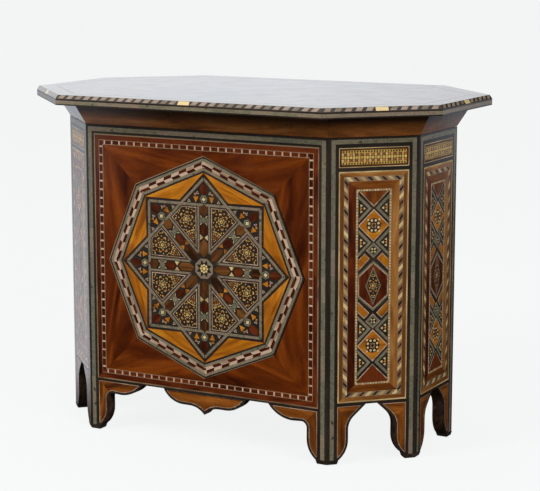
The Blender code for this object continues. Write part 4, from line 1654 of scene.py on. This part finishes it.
@dataclass
class LidBanding:
    """Pearl on the rim of the lid board, rope on its bevel, and the inlay of its top."""

    paints: Paintbox
    trees: GeometryTrees
    black_top: float = 2.4
    black_bottom: float = 2.1
    period: float = 16.0
    centre_piece: float = 22.0

    def corners(self) -> tuple[list[Vector], float, list[Vector], float]:
        """Lower and upper corner points of the board, and the heights of its rim's top and its top."""
        points = node_points("lid_board")
        top = max(p.z for p in points)
        bottom = min(p.z for p in points)
        rim = max(p.z for p in points if p.z < top - 1e-5)
        loops = []
        for level in (bottom, top):
            found: dict[tuple[float, float], Vector] = {}
            for p in points:
                if abs(p.z - level) < 1e-5:
                    found[(round(p.x, 5), round(p.y, 5))] = p
            loops.append(sorted(found.values(), key=lambda p: math.atan2(p.y, p.x)))
        return loops[0], rim, loops[1], top

    def side_frame(self, a: Vector, b: Vector, lean: Vector) -> Matrix:
        """Frame at the middle of an edge: X along it, Z up the lean, Y inwards.

        Args:
            a: the edge's start.
            b: its end.
            lean: the way from the edge up its face.

        Returns:
            The frame as a matrix.
        """
        x = (b - a).normalized()
        z = lean.normalized()
        y = z.cross(x)
        made = Matrix((x, y, z)).transposed().to_4x4()
        made.translation = (a + b) / 2
        return made

    def build(self) -> list[bpy.types.Object]:
        """Builds the rim's and the bevel's bands as one piece, and the top's inlay as another."""
        low, rim, high, top = self.corners()
        bands = []
        up = Vector((0, 0, 1))
        for i, ((a, b), (c, d)) in enumerate(zip(edges(low), edges(high))):
            bands.append(self.rim_mesh(i, (b - a).length / MM, (rim - a.z) / MM, self.side_frame(a, b, up)))
            e, f = a.copy(), b.copy()
            e.z = f.z = rim
            lean = (c + d) / 2 - (e + f) / 2
            mesh = self.bevel_mesh(i, (b - a).length / MM, (d - c).length / MM, lean.length / MM)
            mesh.transform(self.side_frame(e, f, lean))
            bands.append(mesh)
        rim_mesh = joined("lid_banding", bands)
        return [
            carried("lid_edge_banding", rim_mesh, Matrix.Identity(4), "lid"),
            self.top_inlay(high, top),
        ]

    def rim_mesh(self, number: int, length: float, height: float, place: Matrix) -> bpy.types.Mesh:
        """The black and pearl of one side's rim.

        Args:
            number: the side's number, for the seed.
            length: its length in millimetres.
            height: the rim's height in millimetres.
            place: the side's frame.

        Returns:
            The mesh, in its place.
        """
        work = Marquetry("rim", self.paints, self.trees)
        half = length / 2 - 0.05
        work.lay(rectangle(-half, 0.05, half, self.black_bottom), 1, EBONY)
        work.lay(rectangle(-half, height - self.black_top, half, height - 0.05), 1, EBONY)
        width = height - self.black_top - self.black_bottom
        middle = self.black_bottom + width / 2
        work.run([((-half, middle), (half, middle))], 38.0, bar(37.75, width), 1, PEARL, (-1.2, 0.3), 70 + number)
        mesh = work.build()
        mesh.transform(place)
        return mesh

    def bevel_mesh(self, number: int, lower: float, upper: float, width: float) -> bpy.types.Mesh:
        """The rope of one side's bevel, with a plain bone piece in its middle.

        Args:
            number: the side's number, for the seeds.
            lower: the length of its lower edge in millimetres.
            upper: the length of its upper edge.
            width: the bevel's width up the slope.

        Returns:
            The mesh, in the side's own frame.
        """
        work = Marquetry("bevel", self.paints, self.trees)
        field_outline = [(-lower / 2, 0.05), (lower / 2, 0.05), (upper / 2, width - 0.05), (-upper / 2, width - 0.05)]
        work.lay(field_outline, 1, EBONY)
        half = upper / 2 - 1.0
        gap = self.centre_piece / 2
        middle = width / 2
        run = half - gap
        pitch = run / max(2, round(run / self.period))
        level = middle + width * 0.05
        tile = slanted(pitch * 0.60, width * 0.84, 4.4)
        for side in (-1, 1):
            start, end = sorted((side * gap, side * half))
            work.run([((start, level), (end, level))], pitch, tile, 2, ROPE, (-0.9, 0.9), 90 + number * 6 + side, False)
        centre = moved(bar(self.centre_piece - 2.0, width * 0.90), 0.0, middle)
        work.lay(centre, 2, CREAM, 0.0, 0.7)
        return work.build()

    def top_inlay(self, high: list[Vector], top: float) -> bpy.types.Object:
        """Veneer of the lid's top: string lines, a ladder and a walnut field in eight mitred pieces.

        Args:
            high: the corners of the top.
            top: its height in metres.

        Returns:
            The new piece.
        """
        work = Marquetry("lid_top", self.paints, self.trees)
        outline = [(p.x / MM, p.y / MM) for p in high]
        edge, black, line, border = [inset(outline, depth) for depth in (0.3, 3.0, 4.4, 24.0)]
        work.frame(edge, black, 1, EBONY)
        work.frame(black, line, 1, CREAM, [-0.2])
        work.frame(line, border, 1, LID_TOP, [0.2, -0.3, 0.4, -0.1, 0.3, -0.4, 0.1, -0.2])
        field_outline = Ladder(border).build(work, 1)
        spine = 90.0
        for i, (a, b) in enumerate(edges(field_outline)):
            near_a, near_b = [(math.copysign(spine, point[0]), 0.0) for point in (a, b)]
            grain = math.degrees(math.atan2(b[1] - a[1], b[0] - a[0])) + 90
            shape = [a, b, near_b] if near_a == near_b else [a, b, near_b, near_a]
            work.lay(shape, 1, LID_TOP, grain, (0.3, -0.3, 0.1, 0.5)[i % 4])
        mesh = work.build()
        place = Matrix(((1, 0, 0, 0), (0, 0, 1, 0), (0, -1, 0, 0), (0, 0, 0, 1)))
        flat = Matrix.Translation((0, 0, top)) @ place
        return carried("lid_top_inlay", mesh, flat, "lid")


# Hinges


@dataclass
class HingeScrews:
    """Countersunk screws of the two hinges, set by Geometry Nodes into the holes of the leaves."""

    paints: Paintbox
    trees: GeometryTrees
    head: float = 2.25
    shank: float = 0.95
    length: float = 10.0
    slot: float = 0.55
    slot_depth: float = 0.5
    spacing: float = 21.0
    setback: float = 9.5
    # From the leaf's free edge to the end of its plate at the pin, which setback is measured from.
    leaf_width: float = 16.0
    segments: int = 20

    def screw(self) -> bpy.types.Mesh:
        """One slotted screw with its axis along -Y and its head's face at the origin."""
        shape = bmesh.new()
        profile = [(0.0, 0.0), (self.head, 0.0), (self.shank, self.head - self.shank)]
        profile += [(self.shank, self.length - self.shank), (0.0, self.length)]
        rings = []
        for radius, depth in profile:
            if radius == 0.0:
                rings.append([shape.verts.new((0.0, depth * MM, 0.0))])
                continue
            ring = []
            for i in range(self.segments):
                a = math.tau * i / self.segments
                ring.append(shape.verts.new((radius * math.cos(a) * MM, depth * MM, radius * math.sin(a) * MM)))
            rings.append(ring)
        for first, second in zip(rings, rings[1:]):
            for i in range(self.segments):
                j = (i + 1) % self.segments
                corners = [first[i % len(first)], first[j % len(first)]]
                corners += [second[j % len(second)], second[i % len(second)]]
                shape.faces.new(list(dict.fromkeys(corners)))
        bmesh.ops.recalc_face_normals(shape, faces=shape.faces)
        mesh = bpy.data.meshes.new("screw")
        shape.to_mesh(mesh)
        shape.free()
        cutter = bpy.data.meshes.new("slot")
        block = bmesh.new()
        bmesh.ops.create_cube(block, size=1.0)
        size = (self.head * 3 * MM, self.slot_depth * 2 * MM, self.slot * MM)
        bmesh.ops.scale(block, vec=size, verts=block.verts)
        block.to_mesh(cutter)
        block.free()
        thing, tool = new_object("screw", mesh), new_object("slot", cutter)
        cut = thing.modifiers.new("slot", "BOOLEAN")
        cut.operation, cut.object = "DIFFERENCE", tool
        made = bpy.data.meshes.new_from_object(thing.evaluated_get(bpy.context.evaluated_depsgraph_get()))
        for leftover in (thing, tool):
            bpy.data.objects.remove(leftover)
        made.materials.clear()
        made.materials.append(self.paints.material(STEEL))
        return made

    def build(self) -> list[bpy.types.Object]:
        """Sets the screws: one piece for each body."""
        made = []
        tile = new_object("screw_tile", self.screw())
        for body, part, down in (("chest", "body", True), ("lid", "lid", False)):
            places = []
            for letter in ("a", "b"):
                low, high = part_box(f"hinge_leaf_{part}_{letter}")
                middle = (low.x + high.x) / 2
                y = low.y + (self.leaf_width - self.setback) * MM
                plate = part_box("panel_rear")[1].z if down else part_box("cornice_rear")[0].z
                places += [Vector((middle + step * self.spacing * MM, y, plate)) for step in (-1, 0, 1)]
            face = Matrix.Rotation(math.radians(-90 if down else 90), 4, "X")
            ones = [1.0] * len(places)
            values = {"turn": [0.35 + 1.1 * i for i in range(len(places))], "size": ones, TONE: ones}
            points = [tuple(face.inverted() @ place) for place in places]
            mesh = self.trees.set_spots(points, values, tile, self.paints.material(STEEL))
            attribute = mesh.attributes.get(TONE)
            if attribute:
                mesh.attributes.remove(attribute)
            made.append(carried(f"hinge_screws_{part}", mesh, face, body))
        bpy.data.objects.remove(tile)
        return made


# The CAD pieces' own finishes


def solid_wood(name: str, slot: str, veneer: Wood, turn: float = 0.0, **changes: object) -> Wood:
    """A veneer's colours as a solid piece whose grain is read across the body."""
    return replace(veneer, name=name, slot=slot, source=Coordinates.BODY, turn=turn, **changes)


@dataclass
class Carcase:
    """Dresses every CAD node in its wood or metal."""

    paints: Paintbox

    def turn_of(self, node: str) -> float:
        """Angle in degrees of the wall that a node belongs to."""
        for number, name in sorted(enumerate(FACE_NAMES), key=lambda item: -len(item[1])):
            if f"_{name}" in node:
                return (45.0 * number) % 180
        return 0.0

    def finish(self, node: str) -> Finish:
        """The finish of one node."""
        turn = self.turn_of(node)
        if node.startswith("hinge_"):
            return BRASS
        if node.startswith("foot_"):
            return solid_wood(
                "ebonised_feet", "ebonised_wood", EBONY, roughness=0.4, coat=0.3,
                dark=(0.016, 0.011, 0.008), middle=(0.034, 0.024, 0.018), light=(0.07, 0.052, 0.04),
            )
        if node.startswith("post_"):
            return solid_wood("ebonised_posts", "ebonised_wood", EBONY, upright=True)
        if node.startswith(("bracket_", "pendant_")):
            # Little but the sawn edges shows, and they are stained dark.
            return solid_wood(
                f"apron_wood_{turn:.0f}", "apron_walnut", BROWN, turn, roughness=0.4, coat=0.2,
                dark=(0.014, 0.008, 0.006), middle=(0.040, 0.022, 0.014), light=(0.085, 0.045, 0.026),
            )
        if node.startswith("panel_"):
            return solid_wood(f"panel_walnut_{turn:.0f}", "walnut_field", FIELD, turn)
        if node.startswith("cornice_"):
            return solid_wood(
                f"cornice_walnut_{turn:.0f}", "cornice_walnut", BROWN, turn,
                dark=(0.10, 0.032, 0.009), middle=(0.31, 0.105, 0.024), light=(0.52, 0.20, 0.05),
                # Painted shade: the cornice darkens from 0.521 m up to 0.536 m, towards the overhanging lid.
                figure=1.0, stain_from=0.521, stain_to=0.536,
            )
        if node == "lid_board":
            return solid_wood("lid_board_wood", "lid_walnut", BROWN)
        return solid_wood(
            "bare_beech", "beech", BROWN, roughness=0.6, coat=0.0, contrast=0.2,
            dark=(0.22, 0.12, 0.055), middle=(0.36, 0.22, 0.11), light=(0.5, 0.33, 0.18),
        )

    def build(self) -> None:
        """Assigns the materials."""
        for name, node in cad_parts.items():
            finish = self.finish(name)
            node.data.materials.clear()
            node.data.materials.append(self.paints.material(finish))
            LOG.info("%s: %s", name, finish.name)


# Studio


@dataclass
class Studio:
    """Pale floor, soft light and the camera."""

    eye: tuple[float, float, float] = (1.3725, -2.4725, 0.800)
    yaw: float = -28.62
    pitch: float = -10.02
    lens: float = 114.6
    bright_side: tuple[float, float, float] = (-0.85, 0.527, 0.0)
    wall_light: float = 0.90
    ceiling_light: float = 1.0
    floor_light: float = 0.87

    def floor(self) -> None:
        """A wide pale floor. In the lacquer it is dim in front of the box and bright behind it."""
        mesh = bpy.data.meshes.new("floor")
        reach = 60.0
        corners = [(u, v, 0) for u, v in rectangle(-reach, -reach, reach, reach)]
        mesh.from_pydata(corners, [], [(0, 1, 2, 3)])
        made = new_object("floor", mesh)
        material = bpy.data.materials.new("floor_paper")
        material.use_nodes = True
        s = Shades(material.node_tree)
        direct = s.node("ShaderNodeLightPath").outputs["Is Camera Ray"]
        place = s.node("ShaderNodeTexCoord").outputs["Object"]
        away = s.spread(s.vector("DOT_PRODUCT", place, self.bright_side), 0.16, 0.5)
        bright = s.mix(s.spread(s.noise(place, 300.0, 2.0), 0.3, 0.7), (0.48, 0.49, 0.53), (0.50, 0.51, 0.55))
        around = s.mix(away, (0.012, 0.011, 0.010), bright)
        inputs = {
            "Base Color": s.mix(direct, around, (0.055, 0.055, 0.055)),
            "Emission Color": (0.985, 1.0, 0.995),
            "Emission Strength": s.math("MULTIPLY", direct, self.floor_light),
            "Roughness": 1.0,
            "Specular IOR Level": 0.0,
        }
        for label, value in inputs.items():
            s.feed(material.node_tree.nodes["Principled BSDF"].inputs[label], value)
        material.cycles.emission_sampling = "NONE"
        mesh.materials.append(material)

    def world(self) -> None:
        """Soft light from above, a bright wall on one side behind the box, and a dim room elsewhere."""
        world = bpy.data.worlds.new("studio")
        bpy.context.scene.world = world
        world.use_nodes = True
        s = Shades(world.node_tree)
        heading = s.node("ShaderNodeTexCoord").outputs["Generated"]
        behind = s.vector("DOT_PRODUCT", heading, self.bright_side)
        wall = s.spread(behind, 0.42, 0.86, 0.012, self.wall_light)
        ceiling = s.spread(s.height(heading), 0.30, 0.9, 0.0, self.ceiling_light)
        background = world.node_tree.nodes["Background"]
        s.feed(background.inputs["Color"], (0.90, 0.95, 1.0))
        s.feed(background.inputs["Strength"], s.math("ADD", wall, ceiling))

    def lamp(self, name: str, place: Vector, aim: Vector, size: float, power: float, colour: Colour) -> None:
        """A soft square light.

        Args:
            name: its name.
            place: where it is.
            aim: the point that it faces.
            size: its side in metres.
            power: its power in watts.
            colour: its colour.
        """
        data = bpy.data.lights.new(name, "AREA")
        data.shape, data.size, data.energy, data.color = "SQUARE", size, power, colour
        made = bpy.data.objects.new(name, data)
        made.location = place
        made.rotation_mode = "QUATERNION"
        made.rotation_quaternion = (aim - place).to_track_quat("-Z", "Y")
        bpy.context.scene.collection.objects.link(made)

    def build(self) -> None:
        """Sets up floor, light and camera."""
        self.floor()
        self.world()
        low, high = CAD_BOX
        aim = (low + high) / 2
        self.lamp("key", Vector((-1.9, -3.2, 2.6)), aim, 1.8, 165.0, (1.0, 0.98, 0.95))
        self.lamp("fill", Vector((3.2, -1.9, 2.1)), aim, 1.8, 115.0, (0.99, 0.99, 1.0))
        self.lamp("low", Vector((1.9, -2.9, 0.30)), aim, 0.9, 14.0, (1.0, 0.99, 0.97))
        data = bpy.data.cameras.new("camera")
        data.lens, data.sensor_width = self.lens, 36.0
        data.clip_start, data.clip_end = 0.05, 200.0
        camera = bpy.data.objects.new("camera", data)
        camera.location = self.eye
        camera.rotation_mode = "XYZ"
        camera.rotation_euler = (math.radians(90 + self.pitch), 0.0, -math.radians(self.yaw))
        bpy.context.scene.collection.objects.link(camera)
        bpy.context.scene.camera = camera
        bpy.context.scene.view_settings.view_transform = "Standard"


# Light gap between the panels' top edges and the seam, in millimetres.
SEAM_GAP = 0.3
def dress_walls(faces: list[Face], paints: Paintbox, trees: GeometryTrees) -> None:
    """Builds the marquetry of each kind of wall once, and carries it to all the walls of that kind."""
    for kind, maker in ((FaceKind.LONG, LongWall), (FaceKind.NARROW, NarrowWall)):
        alike = [face for face in faces if face.kind is kind]
        low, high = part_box(f"panel_{alike[0].name}")
        flat = [(alike[0].place.inverted() @ p).x for p in node_points(f"panel_{alike[0].name}")]
        half = max(flat) / MM + POST_EDGE
        seam = high.z / MM + SEAM_GAP
        meshes = maker(half, seam, low.z / MM).build(paints, trees)
        for face in alike:
            for part, mesh in meshes.items():
                carried(f"{face.name}_{part}", mesh, face.place, "chest")


def main() -> None:
    """Builds and dresses everything, in order."""
    logging.basicConfig(level=logging.INFO, format="%(message)s")
    paints = Paintbox()
    trees = GeometryTrees()
    faces = [Face.read(number) for number in range(8)]
    Carcase(paints).build()
    dress_walls(faces, paints, trees)
    for face in faces:
        Apron(face, paints, trees).build()
    LidBanding(paints, trees).build()
    HingeScrews(paints, trees).build()
    Studio().build()


if __name__ == "__main__":
    main()
